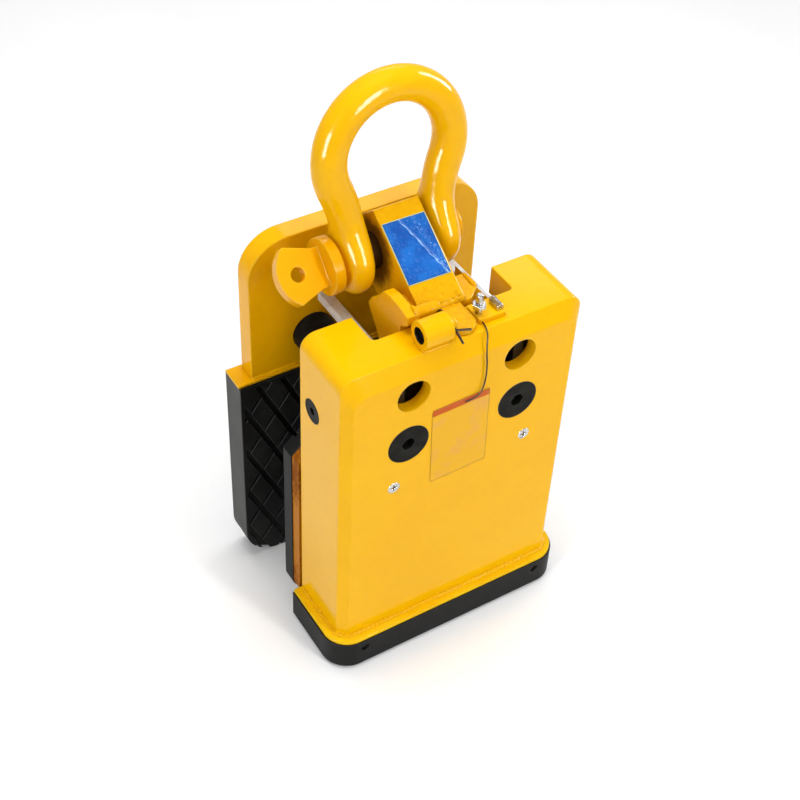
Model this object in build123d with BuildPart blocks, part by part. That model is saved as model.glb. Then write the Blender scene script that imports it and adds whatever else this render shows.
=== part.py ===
# Slab lifting clamp. Millimetres, +Z up, +X to the right as seen from the front, -Y towards the front.
# The origin is under the middle of the clamp, on the floor.
import os
from math import acos, asin, atan2, cos, radians, sin, sqrt, tan

from build123d import *

os.makedirs("parts", exist_ok=True)

# Fits
running_gap = 0.05
screw_gap = 0.1
side_gap = 0.5
rim_gap = 0.4

# Front housing
housing_width = 200.0
housing_depth = 63.0
housing_height = 270.0
front_wall = 10.0
side_wall = 10.0
top_wall = 10.0
shoulder_radius = 12.0
bevel_depth = 7.0
side_bevel = 7.0
top_bevel = 14.0
notch_width = 118.0
rim_depth = 34.4
notch_radius = 4.0
web_thickness = 6.0
web_height = 24.0
port_radius = 13.5
port_spread = 89.4
port_drop = 30.3

# Base
base_height = 32.0
flange_thickness = 5.0
base_overhang = 8.5
base_corner = 22.0
bumper_thickness = 9.0
bumper_lip = 1.2
bumper_lip_height = 2.0
bumper_edge = 3.0
skirt_thickness = 4.0
skirt_lift = 4.0
bumper_screw_radius = 2.0
bumper_head_radius = 3.6
bumper_head_height = 2.4
bumper_recess = 4.0
bumper_screw_inset = 18.0
bumper_screw_drop = 11.0

# Grip: moving pad, gap and rear jaw, from front to back
pad_clearance = 2.0
pad_plate_thickness = 10.0
pad_rubber_thickness = 12.0
jaw_opening = 48.5
rear_rubber_front = 5.5
rear_plate_thickness = 16.5
rear_rubber_back = 2.5
closed_gap = 0.5

# Moving pad: it stands out past the housing's sides and ends below the posts
pad_side = 2.0
pad_bottom = 17.0
pad_drop = 39.0
pad_corner = 14.0
pad_foot_radius = 12.0
pad_plate_inset = 1.0

# Tread of both rubbers: wide grooves one way, narrow ones across them
tread_depth = 3.0
tread_border = 3.0
wide_groove = 4.8
wide_pitch = 19.4
wide_angle = -65.0
narrow_groove = 2.8
narrow_pitch = 22.9
narrow_angle = 55.0

# Rear jaw: a plate as wide as the housing, in a rubber boot
rear_plate_rise = 21.0
rear_plate_bottom = 12.0
rear_plate_corner = 32.0
rear_rubber_side = 13.0
rear_rubber_drop = 30.0
rear_rubber_corner = 32.0
rear_ledge_thickness = 2.0
rear_ledge_inset = 2.0

# Connecting posts and the large screws in their ends
post_radius = 17.0
post_spread = 94.0
post_drop = 76.0
post_screw_radius = 10.0
post_screw_head = 17.0
post_screw_grip = 26.0
post_screw_socket = 10.0

# Lifting: rise of the block for the full closing of the pad
ramp_angle = 30.0
roller_radius = 11.0
roller_width = 16.0
roller_inset = 24.0
axle_radius = 8.0
axle_end_gap = 2.0
axle_back_gap = 11.5
axle_headroom = 8.0
sleeve_wall = 3.0
ring_width = 2.4
ramp_gap = 0.3

# Lift stem and its guide
stem_width = 54.0
stem_thickness = 22.0
stem_back_gap = 1.0
stem_foot = 13.0
stem_guide_end = 7.5
stem_guide_height = 26.0
guide_screw_radius = 2.5
guide_screw_head = 5.0
guide_screw_grip = 12.0
guide_screw_inset = 42.5
guide_screw_drop = 40.3
guide_cross_width = 1.3
guide_cross_reach = 5.6

# Lifting block
block_rim_gap = 1.6
block_depth = 26.0
block_slab_height = 26.0
riser_left = 27.0
riser_right = 33.0
riser_shoulder = 21.3
riser_back = 72.0
riser_cut_across = 9.5
riser_cut_deep = 8.2
tongue_width = 20.0
tongue_offset = 3.5
tongue_tip = 8.0
tongue_thickness = 4.4
neck_width = 37.0
neck_front = 39.0
neck_back = 66.0
neck_lift = 2.5
eye_radius = 27.0
label_slope = 33.3
label_distance = 27.6
label_reach = 19.7

# Guide cheeks and their spacers
cheek_thickness = 8.0
cheek_notch_gap = 5.0
cheek_lift = 2.5
cheek_top_drop = 19.5
cheek_reach = 120.0
cheek_arm_height = 8.0
spacer_cover = 9.6
spacer_length = 20.0
spacer_drop = 25.0
spacer_foot = 4.0
spacer_step_gap = 2.0
side_screw_radius = 5.0
side_screw_head = 10.0
side_screw_cover = 6.0
side_screw_depth = 45.6
side_screw_lift = 18.7

# Catch plate and rod on the left of the block
catch_thickness = 8.0
catch_rod_radius = 5.0
catch_rod_length = 20.0
catch_rod_depth = 33.3
catch_rod_rise = 12.0

# Latch on the rim
barrel_radius = 10.5
barrel_length = 22.5
barrel_right = 12.5
barrel_depth = 13.0
barrel_rise = 11.5
bolt_radius = 6.0
bolt_length = 23.5
bolt_stand_out = 5.0
cotter_radius = 1.1
cotter_stand_out = 2.5

# Stop bracket on the rim
bracket_left = 15.7
bracket_width = 22.0
bracket_front = 13.0
bracket_length = 18.0
bracket_thickness = 4.0
stop_bolt_radius = 2.6
stop_bolt_inset = 3.3
stop_bolt_setback = 7.4
stop_bolt_height = 17.0
stop_nut_width = 9.0
stop_nut_height = 3.2
stop_nut_lift = 5.6
stop_pin_radius = 2.9
stop_pin_inset = 18.6
stop_pin_setback = 2.5
stop_pin_length = 11.0

# Shackle
pin_depth = 103.2
pin_rise = 17.1
shackle_lean = 6.4
shackle_shift = -1.6
limb_radius = 12.7
bow_radius = 48.6
bow_rise = 76.0
ear_spread = 72.0
ear_thickness = 25.4
ear_radius = 26.5
ear_edge = 8.0
ear_straight = 10.0
flare_foot = 6.0
flare_half = 24.8
flare_rise = 20.0
flare_swell = 21.5
waist_height = 36.0
waist_across = 12.3
waist_half = 15.5
pin_radius = 14.0
pin_end = 52.0
collar_gap = 2.0
collar_radius = 21.5
collar_thickness = 8.0
paddle_thickness = 10.0
paddle_reach = 36.0
paddle_half = 21.5
paddle_root = 15.0
paddle_tilt = 45.0
paddle_hole = 5.5

# Wire hanging from the bracket, from bracket to free end: across, behind the front face, above the rim
wire_radius = 0.6
wire_points = [
    (17.5, bracket_front, 2.0),
    (16.5, 4.0, 3.0),
    (11.5, -3.0, -8.0),
    (14.4, -2.5, -28.0),
    (13.5, -2.0, -46.0),
    (8.0, -2.0, -54.5),
    (-1.8, -2.0, -53.6),
]

# Depths that follow from the sizes above
grip_depth = pad_clearance + pad_plate_thickness + pad_rubber_thickness + jaw_opening
rear_depth = rear_rubber_front + rear_plate_thickness + rear_rubber_back
overall_depth = base_overhang + housing_depth + grip_depth + rear_depth
front_y = base_overhang - overall_depth / 2
back_y = front_y + housing_depth
inner_y = front_y + front_wall
pad_plate_y = back_y + pad_clearance
pad_rubber_y = pad_plate_y + pad_plate_thickness
pad_face_y = pad_rubber_y + pad_rubber_thickness
rear_face_y = pad_face_y + jaw_opening
rear_plate_y = rear_face_y + rear_rubber_front
rear_plate_back_y = rear_plate_y + rear_plate_thickness
axle_y = pad_plate_y - axle_back_gap
stem_y = pad_plate_y - stem_back_gap - stem_thickness
block_front = rim_depth + block_rim_gap
block_y = front_y + block_front
pin_y = front_y + pin_depth
barrel_y = front_y + barrel_depth

# Widths
pad_width = housing_width + 2 * pad_side
rear_rubber_width = housing_width + 2 * rear_rubber_side
inner_half = housing_width / 2 - side_wall
roller_x = housing_width / 2 - roller_inset
roller_inner = roller_x - roller_width / 2
roller_outer = roller_x + roller_width / 2
axle_half = inner_half - axle_end_gap
guide_screw_x = housing_width / 2 - guide_screw_inset
bumper_screw_x = housing_width / 2 - bumper_screw_inset
cheek_outer = notch_width / 2 - cheek_notch_gap
cheek_inner = cheek_outer - cheek_thickness
block_half = cheek_inner - side_gap
spacer_step = post_spread / 2 + post_radius + spacer_step_gap
side_screw_grip = inner_half - spacer_step - side_screw_cover

# Heights, most of them taken from the housing's top and from the posts under it
housing_top = base_height + housing_height
post_height = housing_top - post_drop
post_over = post_height + post_radius
pad_travel = jaw_opening - closed_gap
lift_travel = pad_travel / tan(radians(ramp_angle))
sleeve_radius = axle_radius + sleeve_wall
axle_height = post_height - post_radius - sleeve_radius - lift_travel - axle_headroom
pad_top = post_height - pad_drop
rear_rubber_top = post_height - rear_rubber_drop
rear_plate_top = housing_top + rear_plate_rise
guide_screw_height = post_height - guide_screw_drop
block_bottom = post_over + side_gap
riser_bottom = block_bottom + block_slab_height
tongue_bottom = housing_top + rim_gap
tongue_top = tongue_bottom + tongue_thickness
cheek_bottom = post_over + cheek_lift
cheek_top = housing_top - cheek_top_drop
side_screw_height = post_height + side_screw_lift
pin_height = housing_top + pin_rise
barrel_z = housing_top + barrel_rise
post_spots = [(s * post_spread / 2, post_height) for s in (-1, 1)]
guide_spots = [(s * guide_screw_x, guide_screw_height) for s in (-1, 1)]
port_spots = [(s * port_spread / 2, housing_top - port_drop) for s in (-1, 1)]
bumper_spots = [(s * bumper_screw_x, base_height - bumper_screw_drop) for s in (-1, 1)]
print("pad travel", round(pad_travel, 2), "lift", round(lift_travel, 2), "axle height", round(axle_height, 3))


def facing(y):
    return Plane(origin=(0, y, 0), x_dir=(1, 0, 0), z_dir=(0, -1, 0))


def across(x):
    return Plane(origin=(x, 0, 0), x_dir=(0, 1, 0), z_dir=(1, 0, 0))


def front_places(y, spots):
    return [Plane(origin=(x, y, z), x_dir=(1, 0, 0), z_dir=(0, -1, 0)) for x, z in spots]


def rear_places(y, spots):
    return [Plane(origin=(x, y, z), x_dir=(-1, 0, 0), z_dir=(0, 1, 0)) for x, z in spots]


def side_places(half, y, z):
    return [Plane(origin=(s * half, y, z), x_dir=(0, s, 0), z_dir=(s, 0, 0)) for s in (-1, 1)]


def flush_screws(places, shank, head, length):
    with Locations(*places):
        Cylinder(shank, length, align=(Align.CENTER, Align.CENTER, Align.MAX))
        Cone(shank, head, head - shank, align=(Align.CENTER, Align.CENTER, Align.MAX))


def hex_sockets(places, width, depth):
    with BuildSketch(*places) as sockets:
        RegularPolygon(width / 2, 6, major_radius=False)
    extrude(sockets.sketch, amount=-depth, mode=Mode.SUBTRACT)


def cross_slots(places, reach, width, depth):
    with BuildSketch(*places) as slots:
        Rectangle(reach, width)
        Rectangle(width, reach)
    extrude(slots.sketch, amount=-depth, mode=Mode.SUBTRACT)


def flush_holes(places, shank, head, depth):
    with Locations(*places):
        CounterSinkHole(shank + screw_gap, head + screw_gap, depth, counter_sink_angle=90)


def housing_outline(side_inset, top_inset):
    half = housing_width / 2 - side_inset
    top = housing_top - top_inset
    with BuildLine() as outline:
        FilletPolyline((half, base_height), (half, top), (-half, top), (-half, base_height), radius=shoulder_radius)
        Line((-half, base_height), (half, base_height))
    make_face(outline.edges())


def base_outline(inset, mode=Mode.ADD):
    half = housing_width / 2 + base_overhang - inset
    front = front_y - base_overhang + inset
    with BuildLine() as outline:
        FilletPolyline((half, back_y), (half, front), (-half, front), (-half, back_y), radius=base_corner - inset)
        Line((-half, back_y), (half, back_y))
    make_face(outline.edges(), mode=mode)


def pad_outline(inset):
    half = pad_width / 2 - inset
    shoulder = pad_top - pad_corner
    foot = pad_bottom + 2 * pad_foot_radius
    with BuildLine() as outline:
        Polyline(
            (-half, foot),
            (-half, shoulder),
            (pad_corner - half, pad_top),
            (half - pad_corner, pad_top),
            (half, shoulder),
            (half, foot),
        )
        FilletPolyline(
            (half, foot),
            (half, pad_bottom + inset),
            (-half, pad_bottom + inset),
            (-half, foot),
            radius=pad_foot_radius - inset,
        )
    make_face(outline.edges())


def groove_rows(width, low, high, groove, pitch, angle):
    lean = radians(angle)
    reach = int((width * abs(sin(lean)) + (high - low) * cos(lean)) / 2 / pitch) + 1
    rows = [(step + 0.5) * pitch for step in range(-reach, reach)]
    with Locations(*[(-row * sin(lean), (low + high) / 2 + row * cos(lean)) for row in rows]):
        Rectangle(2 * (width + high - low), groove, rotation=angle)


def tread_grooves(width, low, high):
    groove_rows(width, low, high, wide_groove, wide_pitch, wide_angle)
    groove_rows(width, low, high, narrow_groove, narrow_pitch, narrow_angle)
    with Locations((0, low - wide_pitch)):
        Rectangle(
            width - 2 * tread_border,
            high - low - tread_border + wide_pitch,
            align=(Align.CENTER, Align.MIN),
            mode=Mode.INTERSECT,
        )


# Housing: a box with a bevelled front, open at the back, notched in the top between two hanging webs
with BuildPart() as housing_shell:
    with BuildSketch(facing(front_y)):
        housing_outline(side_bevel, top_bevel)
    with BuildSketch(facing(front_y + bevel_depth)):
        housing_outline(0, 0)
    loft(ruled=True)
    with BuildSketch(facing(front_y + bevel_depth)):
        housing_outline(0, 0)
    extrude(amount=bevel_depth - housing_depth)
    with BuildSketch(facing(inner_y)):
        with Locations((0, base_height)):
            Rectangle(2 * inner_half, housing_height - top_wall, align=(Align.CENTER, Align.MIN))
    extrude(amount=front_wall - housing_depth, mode=Mode.SUBTRACT)
    with BuildSketch(Plane.XY.offset(housing_top - top_wall)) as notch:
        with Locations((0, front_y + rim_depth)):
            Rectangle(notch_width, housing_depth, align=(Align.CENTER, Align.MIN))
        fillet(notch.vertices().sort_by(Axis.Y)[:2], notch_radius)
    extrude(amount=top_wall, mode=Mode.SUBTRACT)
    with BuildSketch(Plane.XY.offset(housing_top - web_height)):
        for side in (-1, 1):
            with Locations((side * (notch_width + web_thickness) / 2, front_y + rim_depth)):
                Rectangle(web_thickness, housing_depth - rim_depth, align=(Align.CENTER, Align.MIN))
    extrude(amount=web_height)
    with BuildSketch(facing(front_y)):
        with Locations(*port_spots):
            Circle(port_radius)
    extrude(amount=-front_wall, mode=Mode.SUBTRACT)
    flush_holes(front_places(front_y, post_spots), post_screw_radius, post_screw_head, front_wall)
    flush_holes(front_places(front_y, guide_spots), guide_screw_radius, guide_screw_head, front_wall)
    side_screw_y = front_y + side_screw_depth
    side_screw_places = side_places(housing_width / 2, side_screw_y, side_screw_height)
    flush_holes(side_screw_places, side_screw_radius, side_screw_head, side_wall)
housing_shell.part.label = "housing_shell"
export_step(housing_shell.part, "parts/housing_shell.step")

# Base: flange under the housing with a skirt that the bumper hangs on
with BuildPart() as base_flange:
    with BuildSketch(Plane.XY.offset(base_height - flange_thickness)):
        base_outline(bumper_lip)
    extrude(amount=flange_thickness)
    with BuildSketch(Plane.XY.offset(skirt_lift)):
        base_outline(bumper_thickness)
        base_outline(bumper_thickness + skirt_thickness, Mode.SUBTRACT)
    extrude(amount=base_height - flange_thickness - skirt_lift)
    skirt_y = front_y - base_overhang + bumper_thickness
    with Locations(*front_places(skirt_y, bumper_spots)):
        Hole(bumper_screw_radius + screw_gap, skirt_thickness)
base_flange.part.label = "base_flange"
export_step(base_flange.part, "parts/base_flange.step")

with BuildPart() as bumper_strip:
    with BuildSketch():
        base_outline(bumper_edge)
    with BuildSketch(Plane.XY.offset(bumper_edge)):
        base_outline(0)
    loft(ruled=True)
    with BuildSketch(Plane.XY.offset(bumper_edge)):
        base_outline(0)
    extrude(amount=base_height - flange_thickness - bumper_edge)
    with BuildSketch():
        base_outline(bumper_thickness)
    extrude(amount=base_height - flange_thickness, mode=Mode.SUBTRACT)
    with BuildSketch(Plane.XY.offset(base_height - flange_thickness)):
        base_outline(0)
        base_outline(bumper_lip, Mode.SUBTRACT)
    extrude(amount=bumper_lip_height)
    with Locations(*front_places(front_y - base_overhang, bumper_spots)):
        CounterBoreHole(
            bumper_screw_radius + screw_gap, bumper_head_radius + screw_gap, bumper_recess, bumper_thickness
        )
bumper_strip.part.label = "bumper_strip"
export_step(bumper_strip.part, "parts/bumper_strip.step")

with BuildPart() as bumper_screws:
    with Locations(*front_places(front_y - base_overhang + bumper_recess, bumper_spots)):
        Cylinder(bumper_head_radius, bumper_head_height, align=(Align.CENTER, Align.CENTER, Align.MIN))
        bumper_screw_length = bumper_thickness + skirt_thickness - bumper_recess
        Cylinder(bumper_screw_radius, bumper_screw_length, align=(Align.CENTER, Align.CENTER, Align.MAX))
bumper_screws.part.label = "bumper_screws"
export_step(bumper_screws.part, "parts/bumper_screws.step")

# Posts that tie the housing to the rear jaw and carry the moving pad
post_length = rear_plate_y - inner_y
with BuildPart() as connecting_posts:
    with BuildSketch(facing(inner_y)):
        with Locations(*post_spots):
            Circle(post_radius)
    extrude(amount=-post_length)
    with Locations(*front_places(inner_y, post_spots), *rear_places(rear_plate_y, post_spots)):
        Hole(post_screw_radius + screw_gap, post_screw_grip + 4)
connecting_posts.part.label = "connecting_posts"
export_step(connecting_posts.part, "parts/connecting_posts.step")

with BuildPart() as post_screws:
    front_post_places = front_places(front_y, post_spots)
    flush_screws(front_post_places, post_screw_radius, post_screw_head, front_wall + post_screw_grip)
    hex_sockets(front_post_places, post_screw_socket, post_screw_head - post_screw_radius)
post_screws.part.label = "post_screws"
export_step(post_screws.part, "parts/post_screws.step")

with BuildPart() as rear_post_screws:
    rear_post_places = rear_places(rear_plate_back_y, post_spots)
    flush_screws(rear_post_places, post_screw_radius, post_screw_head, rear_plate_thickness + post_screw_grip)
    hex_sockets(rear_post_places, post_screw_socket, post_screw_head - post_screw_radius)
rear_post_screws.part.label = "rear_post_screws"
export_step(rear_post_screws.part, "parts/rear_post_screws.step")

# Rear jaw: plate, ledge welded round it, and the rubber boot under the ledge
with BuildPart() as rear_jaw_plate:
    with BuildSketch(facing(rear_plate_y)) as rear_outline:
        with Locations((0, rear_plate_bottom)):
            Rectangle(housing_width, rear_plate_top - rear_plate_bottom, align=(Align.CENTER, Align.MIN))
        fillet(rear_outline.vertices().sort_by(Axis.Y)[-2:], rear_plate_corner)
    extrude(amount=-rear_plate_thickness)
    flush_holes(
        rear_places(rear_plate_back_y, post_spots), post_screw_radius, post_screw_head, rear_plate_thickness
    )
rear_jaw_plate.part.label = "rear_jaw_plate"
export_step(rear_jaw_plate.part, "parts/rear_jaw_plate.step")

with BuildPart() as rear_pad_ledge:
    with BuildSketch(Plane.XY.offset(rear_rubber_top)):
        with Locations((0, rear_face_y + rear_ledge_inset)):
            Rectangle(rear_rubber_width, rear_depth - rear_ledge_inset, align=(Align.CENTER, Align.MIN))
        with Locations((0, rear_plate_y)):
            Rectangle(housing_width, rear_plate_thickness, align=(Align.CENTER, Align.MIN), mode=Mode.SUBTRACT)
    extrude(amount=rear_ledge_thickness)
rear_pad_ledge.part.label = "rear_pad_ledge"
export_step(rear_pad_ledge.part, "parts/rear_pad_ledge.step")

with BuildPart() as rear_pad_rubber:
    with BuildSketch(facing(rear_face_y)) as rear_boot:
        Rectangle(rear_rubber_width, rear_rubber_top, align=(Align.CENTER, Align.MIN))
        fillet(rear_boot.vertices().sort_by(Axis.Y)[:2], rear_rubber_corner)
    extrude(amount=-rear_depth)
    with BuildSketch(facing(rear_plate_y)):
        with Locations((0, rear_plate_bottom)):
            Rectangle(housing_width, rear_rubber_top, align=(Align.CENTER, Align.MIN))
    extrude(amount=-rear_plate_thickness, mode=Mode.SUBTRACT)
    with BuildSketch(facing(rear_face_y)):
        tread_grooves(rear_rubber_width, 0, rear_rubber_top)
    extrude(amount=-tread_depth, mode=Mode.SUBTRACT)
rear_pad_rubber.part.label = "rear_pad_rubber"
export_step(rear_pad_rubber.part, "parts/rear_pad_rubber.step")

# Moving pad: plate and rubber, ramps in front, bush housings on top
with BuildPart() as pad_plate:
    with BuildSketch(facing(pad_plate_y)):
        pad_outline(pad_plate_inset)
    extrude(amount=-pad_plate_thickness)
pad_plate.part.label = "pad_plate"
export_step(pad_plate.part, "parts/pad_plate.step")

with BuildPart() as pad_rubber:
    with BuildSketch(facing(pad_rubber_y)):
        pad_outline(0)
    extrude(amount=-pad_rubber_thickness)
    with BuildSketch(facing(pad_face_y)):
        tread_grooves(pad_width, pad_bottom, pad_top)
    extrude(amount=tread_depth, mode=Mode.SUBTRACT)
pad_rubber.part.label = "pad_rubber"
export_step(pad_rubber.part, "parts/pad_rubber.step")

# Each ramp leans so that a rising roller pushes it, and the pad, to the rear
slope = tan(radians(ramp_angle))
touch_y = axle_y + (roller_radius + ramp_gap) * cos(radians(ramp_angle))
touch_z = axle_height + (roller_radius + ramp_gap) * sin(radians(ramp_angle))
ramp_foot = touch_z - (pad_plate_y - touch_y) / slope
ramp_top = touch_z + lift_travel + 5.0
ramp_nose = touch_y - slope * (ramp_top - touch_z)
with BuildPart() as ramp_gussets:
    for side in (-1, 1):
        with BuildSketch(across(side * roller_x)):
            with BuildLine():
                Polyline(
                    (pad_plate_y, ramp_foot),
                    (pad_plate_y, pad_top - pad_corner),
                    (pad_plate_y - pad_plate_thickness, ramp_top),
                    (ramp_nose, ramp_top),
                    close=True,
                )
            make_face()
        extrude(amount=roller_width / 2 - side_gap, both=True)
ramp_gussets.part.label = "ramp_gussets"
export_step(ramp_gussets.part, "parts/ramp_gussets.step")

bush_wall = 4.0
bush_outer = post_radius + running_gap + bush_wall
bush_housing_wall = 3.5
bush_housing_length = pad_plate_thickness + pad_rubber_thickness - 0.5
with BuildPart() as bush_housings:
    with BuildSketch(facing(pad_plate_y)):
        with Locations(*post_spots):
            Circle(bush_outer + bush_housing_wall)
        for x, z in post_spots:
            with Locations((x, pad_top)):
                Rectangle(
                    2 * (bush_outer + bush_housing_wall), post_height - pad_top, align=(Align.CENTER, Align.MIN)
                )
        with Locations(*post_spots):
            Circle(bush_outer, mode=Mode.SUBTRACT)
    extrude(amount=-bush_housing_length)
bush_housings.part.label = "bush_housings"
export_step(bush_housings.part, "parts/bush_housings.step")

with BuildPart() as pad_bushes:
    with BuildSketch(facing(pad_plate_y)):
        with Locations(*post_spots):
            Circle(bush_outer)
            Circle(post_radius + running_gap, mode=Mode.SUBTRACT)
    extrude(amount=-bush_housing_length)
pad_bushes.part.label = "pad_bushes"
export_step(pad_bushes.part, "parts/pad_bushes.step")

# Lift: stem between the posts, cross axle through its foot, rollers on the axle
with BuildPart() as lift_stem:
    with BuildSketch(facing(stem_y)):
        with Locations((0, block_bottom)):
            Rectangle(stem_width, block_bottom - axle_height + stem_foot, align=(Align.CENTER, Align.MAX))
    extrude(amount=-stem_thickness)
    with BuildSketch(across(-stem_width / 2)):
        with Locations((axle_y, axle_height)):
            Circle(axle_radius)
    extrude(amount=stem_width, mode=Mode.SUBTRACT)
lift_stem.part.label = "lift_stem"
export_step(lift_stem.part, "parts/lift_stem.step")

with BuildPart() as cross_axle:
    with BuildSketch(across(-axle_half)):
        with Locations((axle_y, axle_height)):
            Circle(axle_radius)
    extrude(amount=2 * axle_half)
    chamfer(cross_axle.edges().filter_by(GeomType.CIRCLE), 1.0)
cross_axle.part.label = "cross_axle"
export_step(cross_axle.part, "parts/cross_axle.step")

with BuildPart() as axle_sleeves:
    for side in (-1, 1):
        with BuildSketch(across(side * stem_width / 2)):
            with Locations((axle_y, axle_height)):
                Circle(sleeve_radius)
                Circle(axle_radius, mode=Mode.SUBTRACT)
        extrude(amount=side * (roller_inner - side_gap - stem_width / 2))
axle_sleeves.part.label = "axle_sleeves"
export_step(axle_sleeves.part, "parts/axle_sleeves.step")

with BuildPart() as axle_rings:
    for side in (-1, 1):
        with BuildSketch(across(side * (roller_outer + side_gap))):
            with Locations((axle_y, axle_height)):
                Circle(sleeve_radius)
                Circle(axle_radius, mode=Mode.SUBTRACT)
        extrude(amount=side * ring_width)
axle_rings.part.label = "axle_rings"
export_step(axle_rings.part, "parts/axle_rings.step")

with BuildPart() as roller_left:
    with BuildSketch(across(-roller_outer)):
        with Locations((axle_y, axle_height)):
            Circle(roller_radius)
            Circle(axle_radius + running_gap, mode=Mode.SUBTRACT)
    extrude(amount=roller_width)
roller_left.part.label = "roller_left"
export_step(roller_left.part, "parts/roller_left.step")

with BuildPart() as roller_right:
    with BuildSketch(across(roller_inner)):
        with Locations((axle_y, axle_height)):
            Circle(roller_radius)
            Circle(axle_radius + running_gap, mode=Mode.SUBTRACT)
    extrude(amount=roller_width)
roller_right.part.label = "roller_right"
export_step(roller_right.part, "parts/roller_right.step")

# Guide block on the inside of the front wall, held by the two small screws
with BuildPart() as stem_guide:
    with BuildSketch(facing(inner_y)) as guide_face:
        with Locations((0, guide_screw_height)):
            Rectangle(2 * (guide_screw_x + stem_guide_end), stem_guide_height)
        fillet(guide_face.vertices(), 3.0)
    extrude(amount=inner_y + side_gap - stem_y)
    with Locations(*front_places(inner_y, guide_spots)):
        Hole(guide_screw_radius + screw_gap, guide_screw_grip + 2)
stem_guide.part.label = "stem_guide"
export_step(stem_guide.part, "parts/stem_guide.step")

with BuildPart() as guide_screws:
    guide_places = front_places(front_y, guide_spots)
    flush_screws(guide_places, guide_screw_radius, guide_screw_head, front_wall + guide_screw_grip)
    cross_slots(guide_places, guide_cross_reach, guide_cross_width, guide_screw_head - guide_screw_radius)
guide_screws.part.label = "guide_screws"
export_step(guide_screws.part, "parts/guide_screws.step")

# Zinc cheeks beside the block: inside the housing they stand over the posts, then reach out to the rear
cheek_profile = [
    (inner_y, cheek_bottom),
    (back_y - 1.0, cheek_bottom),
    (back_y - 1.0, cheek_top - cheek_arm_height),
    (front_y + cheek_reach, cheek_top - cheek_arm_height),
    (front_y + cheek_reach, cheek_top),
    (inner_y, cheek_top),
]
with BuildPart() as guide_cheeks:
    for side in (-1, 1):
        with BuildSketch(across(side * cheek_inner)):
            with BuildLine():
                Polyline(*cheek_profile, close=True)
            make_face()
        extrude(amount=side * cheek_thickness)
guide_cheeks.part.label = "guide_cheeks"
export_step(guide_cheeks.part, "parts/guide_cheeks.step")

with BuildPart() as cheek_spacers:
    spacer_bottom = post_height + spacer_foot
    spacer_top = housing_top - spacer_drop
    for side in (-1, 1):
        with BuildSketch(facing(side_screw_y - spacer_cover)):
            with BuildLine():
                Polyline(
                    (side * cheek_outer, cheek_bottom),
                    (side * spacer_step, cheek_bottom),
                    (side * spacer_step, spacer_bottom),
                    (side * inner_half, spacer_bottom),
                    (side * inner_half, spacer_top),
                    (side * cheek_outer, spacer_top),
                    close=True,
                )
            make_face()
        extrude(amount=-spacer_length)
    with Locations(*side_places(inner_half, side_screw_y, side_screw_height)):
        Hole(side_screw_radius + screw_gap, side_screw_grip + 2)
cheek_spacers.part.label = "cheek_spacers"
export_step(cheek_spacers.part, "parts/cheek_spacers.step")

with BuildPart() as side_screws:
    flush_screws(side_screw_places, side_screw_radius, side_screw_head, side_wall + side_screw_grip)
    hex_sockets(side_screw_places, side_screw_head * 0.6, side_screw_head - side_screw_radius)
side_screws.part.label = "side_screws"
export_step(side_screws.part, "parts/side_screws.step")

# Lifting block: slab between the cheeks, riser, tongue over the rim, and the neck with its eye
eye = Vector(pin_y, pin_height)
along = Vector(cos(radians(label_slope)), sin(radians(label_slope)))
outward = Vector(-sin(radians(label_slope)), cos(radians(label_slope)))
label_foot = eye + outward * label_distance
crease = label_foot + along * label_reach
neck_y = front_y + neck_front
neck_top = label_foot.Y + (neck_y - label_foot.X) * tan(radians(label_slope))
heel = Vector(front_y + neck_back, riser_bottom + neck_lift)
heel_span = (heel - eye).length
heel_turn = atan2(heel.Y - eye.Y, heel.X - eye.X) + atan2(sqrt(heel_span**2 - eye_radius**2), eye_radius)
under = eye + Vector(cos(heel_turn), sin(heel_turn)) * eye_radius
crease_span = (crease - eye).length
crease_turn = atan2(crease.Y - eye.Y, crease.X - eye.X) - acos(eye_radius / crease_span)
over = eye + Vector(cos(crease_turn), sin(crease_turn)) * eye_radius
back_turn = (crease_turn + heel_turn) / 2
eye_back = eye + Vector(cos(back_turn), sin(back_turn)) * eye_radius
with BuildPart() as lifting_block:
    with BuildSketch(Plane.XY.offset(block_bottom)):
        with Locations((0, block_y)):
            Rectangle(2 * block_half, block_depth, align=(Align.CENTER, Align.MIN))
    extrude(amount=block_slab_height)
    with BuildSketch(Plane.XY.offset(riser_bottom)):
        with BuildLine():
            Polyline(
                (-riser_left, block_y),
                (riser_right - riser_cut_across, block_y),
                (riser_right, block_y + riser_cut_deep),
                (riser_right, block_y + block_depth),
                (-riser_left, block_y + block_depth),
                close=True,
            )
        make_face()
    extrude(amount=tongue_top - riser_bottom)
    with BuildSketch(facing(block_y + riser_cut_deep)):
        with BuildLine():
            Polyline(
                (riser_right, riser_bottom),
                (block_half, riser_bottom),
                (block_half, riser_bottom + riser_shoulder),
                (riser_right, tongue_top),
                close=True,
            )
        make_face()
    extrude(amount=block_front + riser_cut_deep - riser_back)
    with BuildSketch(Plane.XY.offset(tongue_bottom)):
        tip_y = front_y + tongue_tip + tongue_width / 2
        with Locations((tongue_offset, tip_y)):
            Circle(tongue_width / 2)
            Rectangle(tongue_width, block_y + 1.0 - tip_y, align=(Align.CENTER, Align.MIN))
    extrude(amount=tongue_thickness)
    with BuildSketch(across(-neck_width / 2)):
        with BuildLine():
            Polyline(
                (heel.X, heel.Y),
                (neck_y, heel.Y),
                (neck_y, neck_top),
                (crease.X, crease.Y),
                (over.X, over.Y),
            )
            ThreePointArc((over.X, over.Y), (eye_back.X, eye_back.Y), (under.X, under.Y))
            Line((under.X, under.Y), (heel.X, heel.Y))
        make_face()
    extrude(amount=neck_width)
    with BuildSketch(across(-neck_width / 2)):
        with Locations((pin_y, pin_height)):
            Circle(pin_radius + running_gap)
    extrude(amount=neck_width, mode=Mode.SUBTRACT)
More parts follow.
